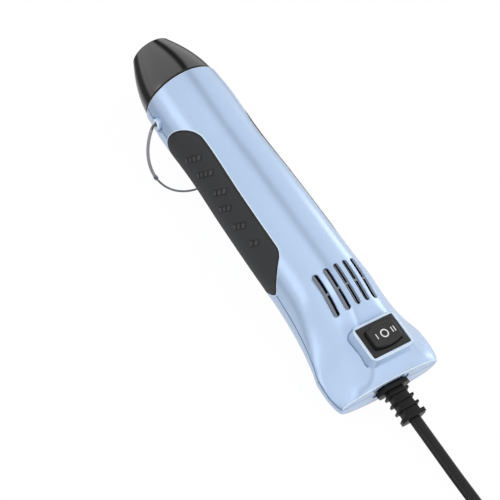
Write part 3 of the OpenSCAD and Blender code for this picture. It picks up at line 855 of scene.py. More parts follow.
class HEATTOOL_OT_housing(bpy.types.Operator):
    """Upper and lower moulded halves with slots, grip pockets and rounded edges"""

    bl_idname = "heattool.housing"
    bl_label = "Housing"

    def execute(self, context):
        housing, grip = sizes("housing"), sizes("grip")
        length, seam = housing.length * MM, housing.seam * MM
        slot_half = housing.slot_length * MM / 2 + SLOT_LIP
        for side, node, name in ((1, "upper_housing", "upper_shell"),
                                 (-1, "lower_housing", "lower_shell")):
            solid = half_solid(side, length, 0.0, housing.edge * MM,
                               seam if side > 0 else seam * LOWER_SEAM)
            solid = carve(solid, cut_away(side, housing, grip))
            add_lips(solid, side, housing, grip)
            made = piece(name, solid, "shell_blue", stands_for=[node], crease=28)

            def on_highlight_edge(spot, normal):
                turned = abs(normal.dot(FAN_AXIS)) < TURNED
                return spot.x > length - FRONT_HIGHLIGHT or (side > 0 and spot.x < REAR_HIGHLIGHT and turned)

            def in_shaded_slot(spot, normal):
                over = abs(spot.x - SLOT_X) < slot_half and abs(spot.y) < SLOT_FIELD
                return over and SLOT_FLOOR < spot.z < roof(spot).z - SLOT_SKIN and normal.z < SLOT_UP

            # Painted highlight along the front edge and the upper half's rear edge
            second_finish(made, "highlight_blue", on_highlight_edge)
            # Painted shade on the slot walls
            if side > 0:
                second_finish(made, "shade_blue", in_shaded_slot)
        # A dark strip of painted shadow in the seam's groove
        seam_shadow(length)
        return {"FINISHED"}


# The plinth: width of its rim, rounding of its edge, draft of its walls and reach of its foot
PLINTH_RIM, PLINTH_EDGE, PLINTH_DRAFT, PLINTH_FOOT = 1.55, 0.9, 0.1, 0.8
PLINTH_CORNER = 2.1
# Growth, corner and depth of the rings round the opening for the bezel
PLINTH_OPENING = ((0.18, 0.6, 3.0), (0.18, 0.6, 0.25), (0.26, 0.68, 0.08), (0.42, 0.84, 0))
# The rounding's steps, its share of a quarter turn, and how far it is drawn in
EDGE_STEPS, EDGE_TURN, EDGE_IN = 6, 0.93, 0.55
WALL_STEPS, FOOT_STEPS = 4, 8
# Height of the plinth's rim with a painted highlight, and the levels over the roof of the line of
# painted shade along its foot, which is on the front and the sides
HIGHLIGHT_RIM_HEIGHT = 0.35
FOOT_SHADE_LINE = (0.04, 0.42)
# The longest wall that is looked for, and how often that search is halved
WALL_REACH, HALVINGS = 16.0, 30


def down_to_roof(spot, way):
    """How far down the plinth's wall runs from a spot on its edge to meet the roof."""
    low, high = 0.0, WALL_REACH
    for _ in range(HALVINGS):
        middle = (low + high) / 2
        at = spot + way * (middle * PLINTH_DRAFT) - Vector((0, 0, middle))
        if at.z > roof(at).z:
            low = middle
        else:
            high = middle
    return low


def plinth_wall(spot, way):
    """One line of the wall: its start, the foot's start, its corner and its end on the roof."""
    low = down_to_roof(spot, way)
    corner = spot + way * (low * PLINTH_DRAFT) - Vector((0, 0, low))
    reach = min(PLINTH_FOOT, low * 0.8)
    start = spot.lerp(corner, 1 - reach / max(low, 0.01))
    return spot, start, corner, roof(corner + way * reach)


class HEATTOOL_OT_plinth(bpy.types.Operator):
    """Raised plinth that carries the switch, with a soft foot on the housing's roof"""

    bl_idname = "heattool.plinth"
    bl_label = "Plinth"

    def execute(self, context):
        switch = sizes("switch")
        top = switch.plinth_top * MM
        half_x, half_y = switch.bezel_length * MM / 2, switch.bezel_width * MM / 2
        rings = rect_rings(half_x, half_y, top, PLINTH_OPENING)
        for k in range(EDGE_STEPS + 1):
            a = math.pi / 2 * k / EDGE_STEPS * EDGE_TURN
            grow = PLINTH_RIM + PLINTH_EDGE * math.sin(a) - PLINTH_EDGE * EDGE_IN
            drop = PLINTH_EDGE * (1 - math.cos(a))
            crown = rounded_rect(half_x + grow, half_y + grow, PLINTH_CORNER + grow, top - drop,
                                 SWITCH_X)
            rings.append(places(crown))
        walls = [plinth_wall(spot, way) for spot, way in crown]
        for k in range(1, WALL_STEPS + 1):
            rings.append([a.lerp(b, k / WALL_STEPS) for a, b, c, d in walls])
        for k in range(1, FOOT_STEPS + 1):
            t = k / FOOT_STEPS
            rings.append([b * (1 - t) ** 2 + c * 2 * t * (1 - t) + d * t * t
                          for a, b, c, d in walls])
        bm = bmesh.new()
        lofted(bm, rings)
        made = piece("plinth", bm, "shell_blue", crease=40)

        def on_highlight_rim(spot, normal):
            return spot.z > top - HIGHLIGHT_RIM_HEIGHT and normal.z > 0.5

        def on_shaded_foot(spot, normal):
            front_or_side = spot.x > SWITCH_X - half_x - 0.5 and spot.z < top - 1
            return front_or_side and FOOT_SHADE_LINE[0] < spot.z - roof(spot).z < FOOT_SHADE_LINE[1]

        # Painted highlight on the rim, painted shade along the foot
        second_finish(made, "rim_highlight_blue", on_highlight_rim)
        second_finish(made, "shade_blue", on_shaded_foot)
        return {"FINISHED"}


# The nose cone: where it starts, its base and tip radius, and how fast it narrows
NOSE_X, NOSE_BASE, NOSE_TIP, NOSE_POWER = 205, 22.4, 12.5, 1.7
NOSE_STEPS, NOSE_LIP = 40, 0.9
# Station past the start and depth under the base radius of its stepped base
NOSE_STEP = ((-0.1, 1.4), (-0.1, 0.8), (0.9, 0.75), (1.0, 0.3), (1.25, 0.03))
# Station where the stepped base, painted in shade with a matt black, ends
NOSE_STEP_END = 206.3
# Distance behind the tip, and radius, of the rolled lip and the bore behind it
NOSE_ROLL = ((0.55, 12.4), (0.25, 12.2), (0.06, 11.9), (0, 11.6), (0.1, 10.95), (0.4, 10.72),
             (2, 10.7), (3, 11.4))
# Station and radius of the outlet's ring
OUTLET_RING = ((226, 9.6), (237.2, 9.6), (237.7, 9.75), (237.9, 10), (237.75, 10.3), (237.2, 10.6),
               (228.4, 10.6), (228.4, 11.85), (226, 11.85), (226, 9.6))


class HEATTOOL_OT_nose(bpy.types.Operator):
    """Nose cone with a rolled lip, and the outlet's steel ring"""

    bl_idname = "heattool.nose"
    bl_label = "Nose"

    def execute(self, context):
        length = TIP_X - NOSE_X - NOSE_LIP
        profile = [(NOSE_X + past, NOSE_BASE - under) for past, under in NOSE_STEP]
        profile += [(NOSE_X + length * k / NOSE_STEPS,
                     NOSE_BASE - (NOSE_BASE - NOSE_TIP) * (k / NOSE_STEPS) ** NOSE_POWER)
                    for k in range(1, NOSE_STEPS + 1)]
        profile += [(TIP_X - behind, radius) for behind, radius in NOSE_ROLL]
        bm = bmesh.new()
        spun(bm, profile, 128)
        made = piece("nose_shell", bm, "nose_black", stands_for=["nose_cone"], crease=50)
        # Painted shade: the stepped base takes a matt black
        second_finish(made, "shade_black", lambda spot, normal: spot.x < NOSE_STEP_END)
        bm = bmesh.new()
        spun(bm, OUTLET_RING, 96)
        piece("outlet_ring", bm, "inner_steel", stands_for=["outlet_collar"], crease=40)
        return {"FINISHED"}


# Inset and depth under the skin of the rings that roll the pad's edge, and the rings inside them
PAD_EDGE = ((0, 1.3), (0, 0.5), (0.03, 0.3), (0.12, 0.14), (0.28, 0.04), (0.5, 0))
PAD_RINGS = 10
# Bands round the pad, from and to so far outside its edge, that lie just over the skin: one of painted shade and a
# rim band of painted highlight
SHADE_BAND, HIGHLIGHT_BAND, BAND_LIFT = (0.04, 0.5), (0.12, 0.6), 0.03
# Station, angle and number of each row of cells; the right pad's rows lie lower by some degrees
CELL_ROWS = ((161, 16, 4), (149.6, 18, 4), (135.1, 22.6, 3), (126.5, 14.1, 3), (113.2, 17.2, 3),
             (99.9, 21.6, 2))
RIGHT_LOWER = 9
# Cells: pitch, half width, gap beside each, depth of their foot and slope of their walls
CELL_PITCH, CELL_HALF, CELL_GAP, CELL_FOOT, CELL_SLOPE = 3.4, 1.45, 0.3, 0.4, 0.3
# A step of 1 back-up and of 1 forward-up on the flank: how far it goes forwards and round
BACK_UP, FORWARD_UP = (-0.53, 0.85), (0.64, 0.77)
# The bed of painted shade under a row: half width, lift over the skin, and how far it runs past the row
BED_HALF, BED_LIFT, BED_PAST = 1.95, 0.05, 0.1


def pad(grip):
    """The left pad: a rolled edge, then rings that shrink onto its middle line."""
    edge = [-grip.gap * MM - inset for inset, drop in PAD_EDGE]
    rings = [[flank(p, drop) for p in places(grip_edge(grip, grow))]
             for grow, (inset, drop) in zip(edge, PAD_EDGE)]
    last = places(grip_edge(grip, edge[-1]))
    for k in range(1, PAD_RINGS + 1):
        t = k / PAD_RINGS
        ring = []
        for x, z in last:
            spine = max(GRIP_SPINE[0], min(GRIP_SPINE[1], x))
            ring.append(flank((x + (spine - x) * t, z * (1 - t))))
        rings.append(ring)
    bm = bmesh.new()
    lofted(bm, rings)
    return bm


def band(bm, grip, *grown):
    """A thin band over the left flank, between the grip's outline grown by two margins."""
    lofted(bm, [[flank(p, -BAND_LIFT) for p in places(grip_edge(grip, grow))] for grow in grown])


def askew(x, angle, a, b, lift):
    """Point on the left flank, a back-up and b forward-up from a row's middle."""
    station = x + BACK_UP[0] * a + FORWARD_UP[0] * b
    radius = value(HALF_WIDTH, station)
    turn = math.radians(angle) + (BACK_UP[1] * a + FORWARD_UP[1] * b) / radius
    radius += lift
    return Vector((station, radius * math.cos(turn), radius * math.sin(turn)))


def cell(bm, x, angle, ends, top):
    """A low block on the left flank, askew to the tool: its two ways run back-up and forward-up."""
    for vert in bmesh.ops.create_cube(bm, size=1.0)["verts"]:
        high = vert.co.y > 0
        less = CELL_SLOPE if high else 0.0
        a = ends[0] + less if vert.co.x < 0 else ends[1] - less
        b = math.copysign(CELL_HALF - less, vert.co.z)
        vert.co = askew(x, angle, a, b, top if high else -CELL_FOOT)


def cell_rows(shade_beds, cells, lower, proud):
    """Rows of cells on the left flank, each row on its bed of painted shade."""
    for x, angle, count in CELL_ROWS:
        angle -= lower
        half = count * CELL_PITCH / 2
        moulded(shade_beds, 8, 24, lambda u, v: askew(
            x, angle, (v * 2 - 1) * (half + BED_PAST) - BED_PAST, (u * 2 - 1) * BED_HALF, BED_LIFT))
        for k in range(count):
            start = -half + CELL_PITCH * k + CELL_GAP
            cell(cells, x, angle, (start, start + CELL_PITCH - 0.75), proud)


class HEATTOOL_OT_grips(bpy.types.Operator):
    """Two inlaid rubber pads with rows of small raised bars"""

    bl_idname = "heattool.grips"
    bl_label = "Grips"

    def execute(self, context):
        grip = sizes("grip")
        gap, proud = grip.gap * MM, grip.bar_height * MM
        for sign, node, name in ((1, "left_grip", "left_pad"), (-1, "right_grip", "right_pad")):
            shade_beds, cells, rim = bmesh.new(), bmesh.new(), bmesh.new()
            band(shade_beds, grip, *(-gap - inset for inset in SHADE_BAND))
            band(rim, grip, *HIGHLIGHT_BAND)
            cell_rows(shade_beds, cells, RIGHT_LOWER if sign < 0 else 0, proud)
            # Painted shade on the beds and the band inside the pad's edge, painted light on the cells, painted
            # highlight on the rim band
            for extra, part, paint in ((shade_beds, "shade_beds", "shade_black"), (cells, "cells", "lit_rubber_grey"),
                                       (rim, "rim", "highlight_blue")):
                mirrored(extra, sign)
                piece(name + "_" + part, extra, "grip_rubber", material=paint, crease=38)
            shape = pad(grip)
            mirrored(shape, sign)
            piece(name, shape, "grip_rubber", stands_for=[node], crease=38)
        return {"FINISHED"}


# Growth, corner and depth of the bezel's outer rings, and the bezel's depth under the plinth's top
BEZEL_RINGS = ((0, 0.6, 1.2), (0, 0.6, 0.22), (-0.08, 0.55, 0.06), (-0.24, 0.5, 0))
BEZEL_SUNK, BEZEL_WALL = 0.12, 3
# Half sizes, bulge and corner of the opening in the bezel and of the rocker
OPENING = (5.35, 9.15, 1.5, 0.5)
ROCKER_X, ROCKER_Y, ROCKER_BULGE, ROCKER_CORNER = 4.95, 8.7, 1.45, 0.9
# The rocker: its foot's and its top's height, the rise of its ends and the rounding of its rim
ROCKER_FOOT, ROCKER_TOP, ROCKER_RISE, ROCKER_ROUND = 16.5, 24.75, 0.35, 1.15
# Place of each mark along the rocker; painted marks lie a little over it
MARKS = (("mark_one", 5.2, "I"), ("mark_off", 0.25, "O"), ("mark_two_a", -4.7, "I"),
         ("mark_two_b", -6.25, "I"))
MARK_LIFT, MARK_THICK = 0.03, 0.05
BAR_LENGTH, BAR_WIDTH = 3.1, 0.52
# Radii of the ring of the O, from its inner to its outer edge
RING_RADII = (1.72, 1.8, 2.3, 2.38)


def barrel_ring(half_x, half_y, bulge, radius, z=0.0):
    """Ring of the rocker: straight short ends, long sides that bulge in the middle."""
    points = []
    for p in rect_ring(half_x, half_y, radius, 0):
        share = max(0.0, 1 - (p.y / half_y) ** 2)
        points.append(Vector((SWITCH_X + p.x * (1 + bulge * share / half_x), p.y, z)))
    return points


def rocker_top(x, y, lift=0.0):
    """Point of the rocker's top face, a little hollow between its ends."""
    rise = ROCKER_RISE * (y / ROCKER_Y) ** 2
    return Vector((SWITCH_X + x, y, ROCKER_TOP + rise + lift))


def rocker_ring(inset, lift, share=1.0):
    """Ring of the rocker's cap, inset from its side and drawn in to a share of its size."""
    corner = max(0.3, ROCKER_CORNER - inset * 0.4)
    ring = barrel_ring(ROCKER_X - inset, ROCKER_Y - inset, ROCKER_BULGE, corner)
    return [rocker_top((p.x - SWITCH_X) * share, p.y * share, lift) for p in ring]


def rocker():
    """The rocker's cap, from its foot over its rounded rim to the middle of its top."""
    rings = [barrel_ring(ROCKER_X, ROCKER_Y, ROCKER_BULGE, ROCKER_CORNER, ROCKER_FOOT)]
    for k in range(7):
        a = math.pi / 2 * k / 6
        inset, lift = ROCKER_ROUND * (1 - math.cos(a)), ROCKER_ROUND * math.sin(a)
        rings.append(rocker_ring(inset, lift - ROCKER_ROUND))
    rings += [rocker_ring(ROCKER_ROUND, 0.0, share) for share in (0.75, 0.5, 0.25, 0.04)]
    bm = bmesh.new()
    lofted(bm, rings)
    close_holes(bm)
    return bm


def mark(kind, middle):
    """A painted bar or ring on the rocker."""
    bm = bmesh.new()
    if kind == "O":
        lofted(bm, [[rocker_top(x, middle + y, MARK_LIFT) for x, y in circle(radius, 48)]
                    for radius in RING_RADII])
    else:
        moulded(bm, 10, 2, lambda u, v: rocker_top(
            (u - 0.5) * BAR_LENGTH, middle + (v - 0.5) * BAR_WIDTH, MARK_LIFT))
    bmesh.ops.solidify(bm, geom=bm.faces[:], thickness=MARK_THICK)
    return bm


class HEATTOOL_OT_switch(bpy.types.Operator):
    """Bezel, barrel-sided rocker and its I, O and II marks"""

    bl_idname = "heattool.switch"
    bl_label = "Switch"

    def execute(self, context):
        switch = sizes("switch")
        top = switch.plinth_top * MM - BEZEL_SUNK
        half_x, half_y = switch.bezel_length * MM / 2, switch.bezel_width * MM / 2
        rings = rect_rings(half_x, half_y, top, BEZEL_RINGS)
        bm = bmesh.new()
        lofted(bm, rings + [barrel_ring(*OPENING, top), barrel_ring(*OPENING, top - BEZEL_WALL)])
        piece("switch_bezel", bm, "black_plastic", stands_for=["switch_housing"], crease=40)
        piece("rocker_cap", rocker(), "black_plastic", "switch_rocker", ["rocker"], crease=50)
        for name, y, kind in MARKS:
            piece(name, mark(kind, y), "black_plastic", "switch_rocker", material="mark_paint",
                  crease=50)
        return {"FINISHED"}


# The wire: radius, radius of its big bend, distance of that bend's middle behind the pivot,
# radius of the bends beside the bosses, and how far from the middle its ends lie
WIRE, RING, REACH, BEND, WIRE_END = 0.8, 32.0, 17.5, 2.0, 20.4
STAND_ANGLE = -60
END_STEPS, BEND_STEPS, RING_STEPS = 3, 6, 110
# Thickness of the wire's sleeved ends, of the beads that close them and of its bare middle
SLEEVE, BEAD, THIN = 1.15, 1.6, 0.78
# Point of the path, from either end, where the sleeve starts, where the bead does and where it ends
SLEEVE_FROM, BEAD_FROM, BEAD_TO = 10, 35, 37
SLEEVED = (-31, -2)
# Radius and height of the boss: a dish in the flank with a raised eye that holds the wire
BOSS_PROFILE = (
    (DISH + 0.02, -0.2), (DISH - 0.15, -0.08), (DISH - 0.5, -0.3), (DISH - 0.9, -0.6),
    (3.75, -0.6), (3.55, -0.2), (3.45, 0.5), (3.2, 1.1), (2.8, 1.5), (2.3, 1.65), (1.8, 1.5),
    (1.35, 1.0), (0.95, 0.3), (0.85, -2),
)
# Radii between which the boss's eye takes a painted highlight
EYE_HIGHLIGHT = (1.3, 3.1)


def arc(middle, radius, angles):
    """Points of an arc in the stand's plane, at angles in degrees."""
    turns = [math.radians(a) for a in angles]
    return [(middle[0] + radius * math.cos(a), middle[1] + radius * math.sin(a)) for a in turns]


def stand_plan():
    """The wire's line, flat: how far behind the pivot and how far left, from left end to right."""
    span, run = RING - BEND, REACH - BEND
    pivot_y = math.sqrt(span ** 2 - run ** 2)
    turn = math.degrees(math.acos(run / span))
    plan = [(0.0, WIRE_END + (pivot_y - WIRE_END) * k / END_STEPS) for k in range(END_STEPS)]
    plan += arc((BEND, pivot_y), BEND, (180 - turn * k / BEND_STEPS for k in range(BEND_STEPS + 1)))
    ends = len(plan)
    sweep = 180 - turn
    plan += arc((REACH, 0), RING, (sweep - 2 * sweep * k / RING_STEPS for k in range(1, RING_STEPS)))
    return plan + [(s, -y) for s, y in reversed(plan[:ends])]


def wire_thickness(inward):
    """Thickness of the wire, as a share, so many points in from its nearer end."""
    if inward < SLEEVE_FROM:
        return 1.0
    if inward < BEAD_FROM:
        return SLEEVE
    return BEAD if inward < BEAD_TO else THIN


class HEATTOOL_OT_stand(bpy.types.Operator):
    """Bent wire stand and the domed bosses that it turns in"""

    bl_idname = "heattool.stand"
    bl_label = "Stand"

    def execute(self, context):
        pivot = Vector((PIVOT_X, 0, 0))
        down = Matrix.Rotation(math.radians(STAND_ANGLE), 4, "Y")
        path = [pivot + down @ Vector((-s, y, 0)) for s, y in stand_plan()]
        rings = []
        for i, spot in enumerate(path):
            thick = wire_thickness(min(i, len(path) - 1 - i))
            over = down @ Vector((0, 0, 1))
            across = over.cross(heading(path, i)).normalized()
            rings.append([spot + (across * a + over * b) * thick for a, b in circle(WIRE, 16)])
        bm = bmesh.new()
        lofted(bm, rings)
        close_holes(bm)
        made = piece("stand_loop", bm, "wire_steel", "stand", ["stand_wire"], crease=50)
        level = down.inverted()
        second_finish(made, "sleeve_grey", lambda spot, normal:
                      SLEEVED[0] < (level @ (spot - pivot)).x < SLEEVED[1])
        for sign, side in ((1, "left"), (-1, "right")):
            bm = bmesh.new()
            lofted(bm, [[flank(p) + Vector((0, height, 0)) for p in boss_ring(radius)]
                        for radius, height in BOSS_PROFILE])
            mirrored(bm, sign)
            made = piece(side + "_boss", bm, "shell_blue", crease=55)
            # Painted highlight on the boss's eye
            second_finish(made, "highlight_blue", lambda spot, normal:
                          EYE_HIGHLIGHT[0] < math.hypot(spot.x - PIVOT_X, spot.z) < EYE_HIGHLIGHT[1])
        return {"FINISHED"}


class HEATTOOL_OT_relief(bpy.types.Operator):
    """Ribbed strain relief with a bevelled flange"""

    bl_idname = "heattool.relief"
    bl_label = "Strain relief"

    def execute(self, context):
        bevelled_copy("relief", "strain_relief", "black_plastic", 0.25, material="relief_black")
        return {"FINISHED"}


# The cord's route, in the frame's axes and in millimetres


FLOOR = FLOOR_Z * MM
RELIEF_END = -21
EXIT_BACK = RELIEF_END - TIP_X
EXIT = Vector((EXIT_BACK * math.cos(TILT), 0, EXIT_BACK * math.sin(TILT)))
# The straight start out of the relief, then points so far behind the exit, left and over the floor
STRAIGHT = 34
CORD_ROUTE = ((58, 0, 7.6), (71.5, 2.8, 5.6), (84, 11.1, 4.4), (92.6, 23, 4.2), (101, 35, 4.3),
              (113.6, 43.2, 4.4))
# Points of the lead so far behind the coil's middle, left and over the floor
PLUG_ROUTE = ((8, 45.6, 12.8), (18, 43.1, 15.6), (27, 38.2, 18.8), (33.8, 31, 21.6),
              (37.2, 22, 23.2), (38, 14, 23.7), (38, 8, 23.7))
ROUTE_STEPS = 6
CORD_W = 6.8
# The coil winds in and out again, its second half on a second layer, which it climbs to over a
# third of a turn
COIL_BEHIND, COIL_OUT, COIL_IN, COIL_TURNS = 136.0, 46.0, 33.0, 2.5
COIL_STEPS, COIL_CLIMB = 40, 3
COIL_CENTRE = Vector((EXIT.x - COIL_BEHIND, 0, FLOOR))
LAYERS = (CORD_W / 2 + 1, CORD_W * 1.5 + 1.7)
# The cord turns onto its edge on its way to the coil and flat again on the lead: where that
# starts and how long it takes, as shares of the stretch
ONTO_EDGE, FLAT_AGAIN = (0.2, 0.35), (0.25, 0.5)
# Section of the cord: its points, how square its sides and faces are, and its grooves, whose
# depth is a share of the thickness and whose width is a share of the half width
SECTION_POINTS, SIDE_POWER, FACE_POWER = 24, 0.7, 0.6
CORD_GROOVE, CORD_GROOVE_WIDTH = 0.2, 0.16


def bend_through(points, steps):
    """A smooth line through points, each passed exactly."""
    made = []
    for i in range(len(points) - 1):
        a, b = points[max(i - 1, 0)], points[i]
        c, d = points[i + 1], points[min(i + 2, len(points) - 1)]
        for k in range(steps):
            t = k / steps
            made.append(0.5 * (2 * b + (c - a) * t + (2 * a - 5 * b + 4 * c - d) * t * t
                               + (3 * b - a - 3 * c + d) * t ** 3))
    return made + [points[-1]]


def coil_line():
    """The coil's turns, from its outer start to its outer end on the second layer."""
    total = int(2 * COIL_TURNS * COIL_STEPS)
    half = total / 2
    line = []
    for k in range(1, total + 1):
        radius = COIL_OUT - (COIL_OUT - COIL_IN) * (min(k, total - k) / half)
        climb = clamped(COIL_CLIMB * (k - half) / COIL_STEPS + 0.5)
        height = LAYERS[0] + (LAYERS[1] - LAYERS[0]) * climb
        a = math.radians(90 + 360 * k / COIL_STEPS)
        line.append(COIL_CENTRE + Vector((radius * math.cos(a), radius * math.sin(a), height)))
    return line


def turning(line, start, over):
    """How far through a turn each point of a line is."""
    return [clamped((k / (len(line) - 1) - start) / over) for k in range(len(line))]


def cord_line():
    """Centreline and roll of the whole cord: free stretch, coil and plug lead."""
    axis = Vector((math.cos(TILT), 0, math.sin(TILT)))
    start = [EXIT, EXIT - STRAIGHT * axis]
    start += [Vector((EXIT.x - back, side, FLOOR + up)) for back, side, up in CORD_ROUTE]
    start += [COIL_CENTRE + Vector((ahead, COIL_OUT, LAYERS[0])) for ahead in (CORD_W, 0)]
    free = bend_through(start, ROUTE_STEPS)
    coil = coil_line()
    route = [COIL_CENTRE + Vector((-back, side, up)) for back, side, up in PLUG_ROUTE]
    lead = bend_through(coil[-1:] + route, ROUTE_STEPS)
    rolls = [90 * turn for turn in turning(free, *ONTO_EDGE)] + [90.0] * len(coil)
    rolls += [90 - 90 * turn for turn in turning(lead, *FLAT_AGAIN)[1:]]
    return [p / MM for p in free + coil + lead[1:]], rolls


def cord_section(wide, thick):
    """Section of the flat twin cord: a rounded bar with a shallow groove in each face."""
    section = []
    for k in range(SECTION_POINTS):
        a = 2 * math.pi * (k + 0.5) / SECTION_POINTS
        across = wide * math.copysign(abs(math.cos(a)) ** SIDE_POWER, math.cos(a))
        groove = 1 - CORD_GROOVE * math.exp(-(across / (CORD_GROOVE_WIDTH * wide)) ** 2)
        up = thick * math.copysign(abs(math.sin(a)) ** FACE_POWER, math.sin(a)) * groove
        section.append((across, up))
    return section


class HEATTOOL_OT_cord(bpy.types.Operator):
    """Flat twin cord from relief to plug, its tie and plug"""

    bl_idname = "heattool.cord"
    bl_label = "Cord"

    def execute(self, context):
        cord = sizes("cord")
        path, rolls = cord_line()
        section = cord_section(cord.width / 2, cord.thickness / 2)
        bm = bmesh.new()
        swept(bm, [p * MM for p in path], rolls, [(a * MM, b * MM) for a, b in section])
        bmesh.ops.scale(bm, vec=(1 / MM, 1 / MM, 1 / MM), verts=bm.verts)
        flex = piece("flex", bm, "cord_black", stands_for=["power_cord", "cord_coil", "plug_lead"],
                     crease=60, tool=False)
        plug = bevelled_copy("plug_shell", "plug_body", "black_plastic", 1.6, segments=3,
                             material="relief_black")
        tie = bevelled_copy("tie_strap", "cord_tie", "black_plastic", 0.3)
        blades = bevelled_copy("blades", "plug_blades", "contact_brass", 0.25)
        tuple(path[0])
        [tuple(p) for p in path]
        return {"FINISHED"}


class HEATTOOL_OT_inner_finishes(bpy.types.Operator):
    """Finishes for the pieces inside, seen through the slots and the outlet"""

    bl_idname = "heattool.inner_finishes"
    bl_label = "Inner finishes"

    def execute(self, context):
        slots = {row["node"]: row["material_slot"] for row in frame["record"]["subparts"]}
        for node, made in frame["nodes"].items():
            made.data.materials.clear()
            made.data.materials.append(finishes()[slots[node]])
        return {"FINISHED"}


# How far the vanes run past a slot, and their strips: from and to so far left of each slot's middle
VANE_MARGIN = 0.35
VANE_STRIPS = (((-0.1, -2.2),), ((1.0, 0.8), (-0.5, -2.2)), ((1.0, 0.4), (-0.75, -2.2)),
               ((1.05, -0.4),), ((1.05, -0.45),))
# Depth under the roof of the vanes and of the black sheets of painted shade, the rib's half width and
# its rise over the vanes, and the gap left of it
VANE_DEPTH, SHADE_SHEET_DEPTH = 0.6, 0.68
RIB_HALF, RIB_RISE, RIB_GAP = 0.6, 0.02, 0.5


def sheet(bm, ends, sides, depth):
    """A strip under the roof between two ends and two sides."""
    def place(u, v):
        along, across = (pair[0] + (pair[1] - pair[0]) * t for pair, t in ((ends, v), (sides, u)))
        spot = roof((SLOT_X + along, across))
        spot.z -= depth
        return spot

    moulded(bm, 2, 16, place)


class HEATTOOL_OT_vanes(bpy.types.Operator):
    """Grey vanes just under the air slots, with a black sheet of painted shade along each and a rib at mid length
    """

    bl_idname = "heattool.vanes"
    bl_label = "Slot vanes"

    def execute(self, context):
        housing = sizes("housing")
        half = housing.slot_length * MM / 2 + VANE_MARGIN
        wide = housing.slot_width * MM / 2 + VANE_MARGIN
        vanes, gaps = bmesh.new(), bmesh.new()
        for k in range(housing.slots):
            y = slot_y(housing, k)
            sheet(gaps, (-half, half), (y - wide, y + wide), SHADE_SHEET_DEPTH)
            for start, end in VANE_STRIPS[k]:
                sheet(vanes, (-half, half), (y + end, y + start), VANE_DEPTH)
            sheet(vanes, (-RIB_HALF, RIB_HALF), (y - wide, y + wide - RIB_GAP), VANE_DEPTH - RIB_RISE)
        piece("slot_vanes", vanes, "shell_blue", crease=40, material="vane_grey", recalc=False)
        # Black sheets of painted shade under the slots
        piece("slot_shade", gaps, "black_plastic", crease=40, material="slot_shade_black", recalc=False)
        return {"FINISHED"}


# Stage


# The camera's place and its three axes, and its lens in millimetres
CAMERA_AT = (-0.50334, 0.4033, 0.57570)
CAMERA_RIGHT = Vector((-0.57038, -0.8051, 0.16285))
CAMERA_UP = Vector((0.67935, -0.3509, 0.64453))
CAMERA_BACK = Vector((-0.4617, 0.4783, 0.74703))
CAMERA_LENS = 108.0
# What the lamps aim at: the tool's middle, or its rear half
TOOL_MIDDLE, TOOL_REAR = (-0.12, 0.0, -0.02), (-0.23, 0.0, -0.03)


def lamp(name, direction, distance, size, radiance, glossy=True, aim=TOOL_MIDDLE):
    """A soft area lamp aimed at a point of the tool from a direction."""
    data = bpy.data.lights.new(name, "AREA")
    data.shape = "RECTANGLE"
    data.size, data.size_y = size
    data.energy = radiance * math.pi * size[0] * size[1]
    made = bpy.data.objects.new(name, data)
    bpy.context.scene.collection.objects.link(made)
    way = Vector(direction).normalized()
    made.location = Vector(aim) + way * distance
    made.rotation_euler = way.to_track_quat("Z", "Y").to_euler()
    made.visible_glossy = glossy
    return made


# The room's plain level, and the dark strip that only gloss shows: its level, the way across it
# and how far off its middle it starts and stops to fade
WORLD_LEVEL = 0.45
STRIP_LEVEL = 0.06
STRIP_ACROSS = (0.359, 0.918, 0.168)
STRIP_EDGES = (0.05, 0.2)


def make_world(scene):
    """White to the camera; to gloss it is white with one dark strip; plain to the rest."""
    world = bpy.data.worlds.new("studio")
    scene.world = world
    world.use_nodes = True
    tree = world.node_tree
    rays = added(tree, "LightPath").outputs
    place = added(tree, "TexCoord").outputs["Generated"]
    across = added(tree, "VectorMath", {0: place, 1: STRIP_ACROSS}, operation="DOT_PRODUCT")
    off = maths(tree, "ABSOLUTE", across.outputs["Value"])
    strip = faded(tree, off, *STRIP_EDGES, STRIP_LEVEL, 1.0)
    seen = maths(tree, "MAXIMUM", rays["Is Camera Ray"], rays["Is Transmission Ray"])
    plain = maths(tree, "MULTIPLY_ADD", seen, 1 - WORLD_LEVEL, WORLD_LEVEL)
    shine = maths(tree, "SUBTRACT", strip, plain)
    level = maths(tree, "MULTIPLY_ADD", shine, rays["Is Glossy Ray"], plain)
    feed(tree, tree.nodes["Background"], {"Color": (1, 1, 1, 1), "Strength": level})


# The floor lies just under the stand. To gloss it has a level under the tool, a darker ring
# round it and the same level again far out; the rings are ellipses round the floor's middle.
FLOOR_DROP = 0.0003
FLOOR_MIDDLE = (-0.12, -0.08)
FLOOR_REACH = (0.19, 0.17)
FLOOR_LEVEL, FLOOR_DARKER = 0.85, -0.73
FLOOR_DARKENS, FLOOR_CLEARS = (0.9, 1.2), (1.5, 2.1)
# Share of the camera's view of the floor that glows white, and how brightly
FLOOR_GLOW, GLOW_LEVEL = 0.955, 1.01


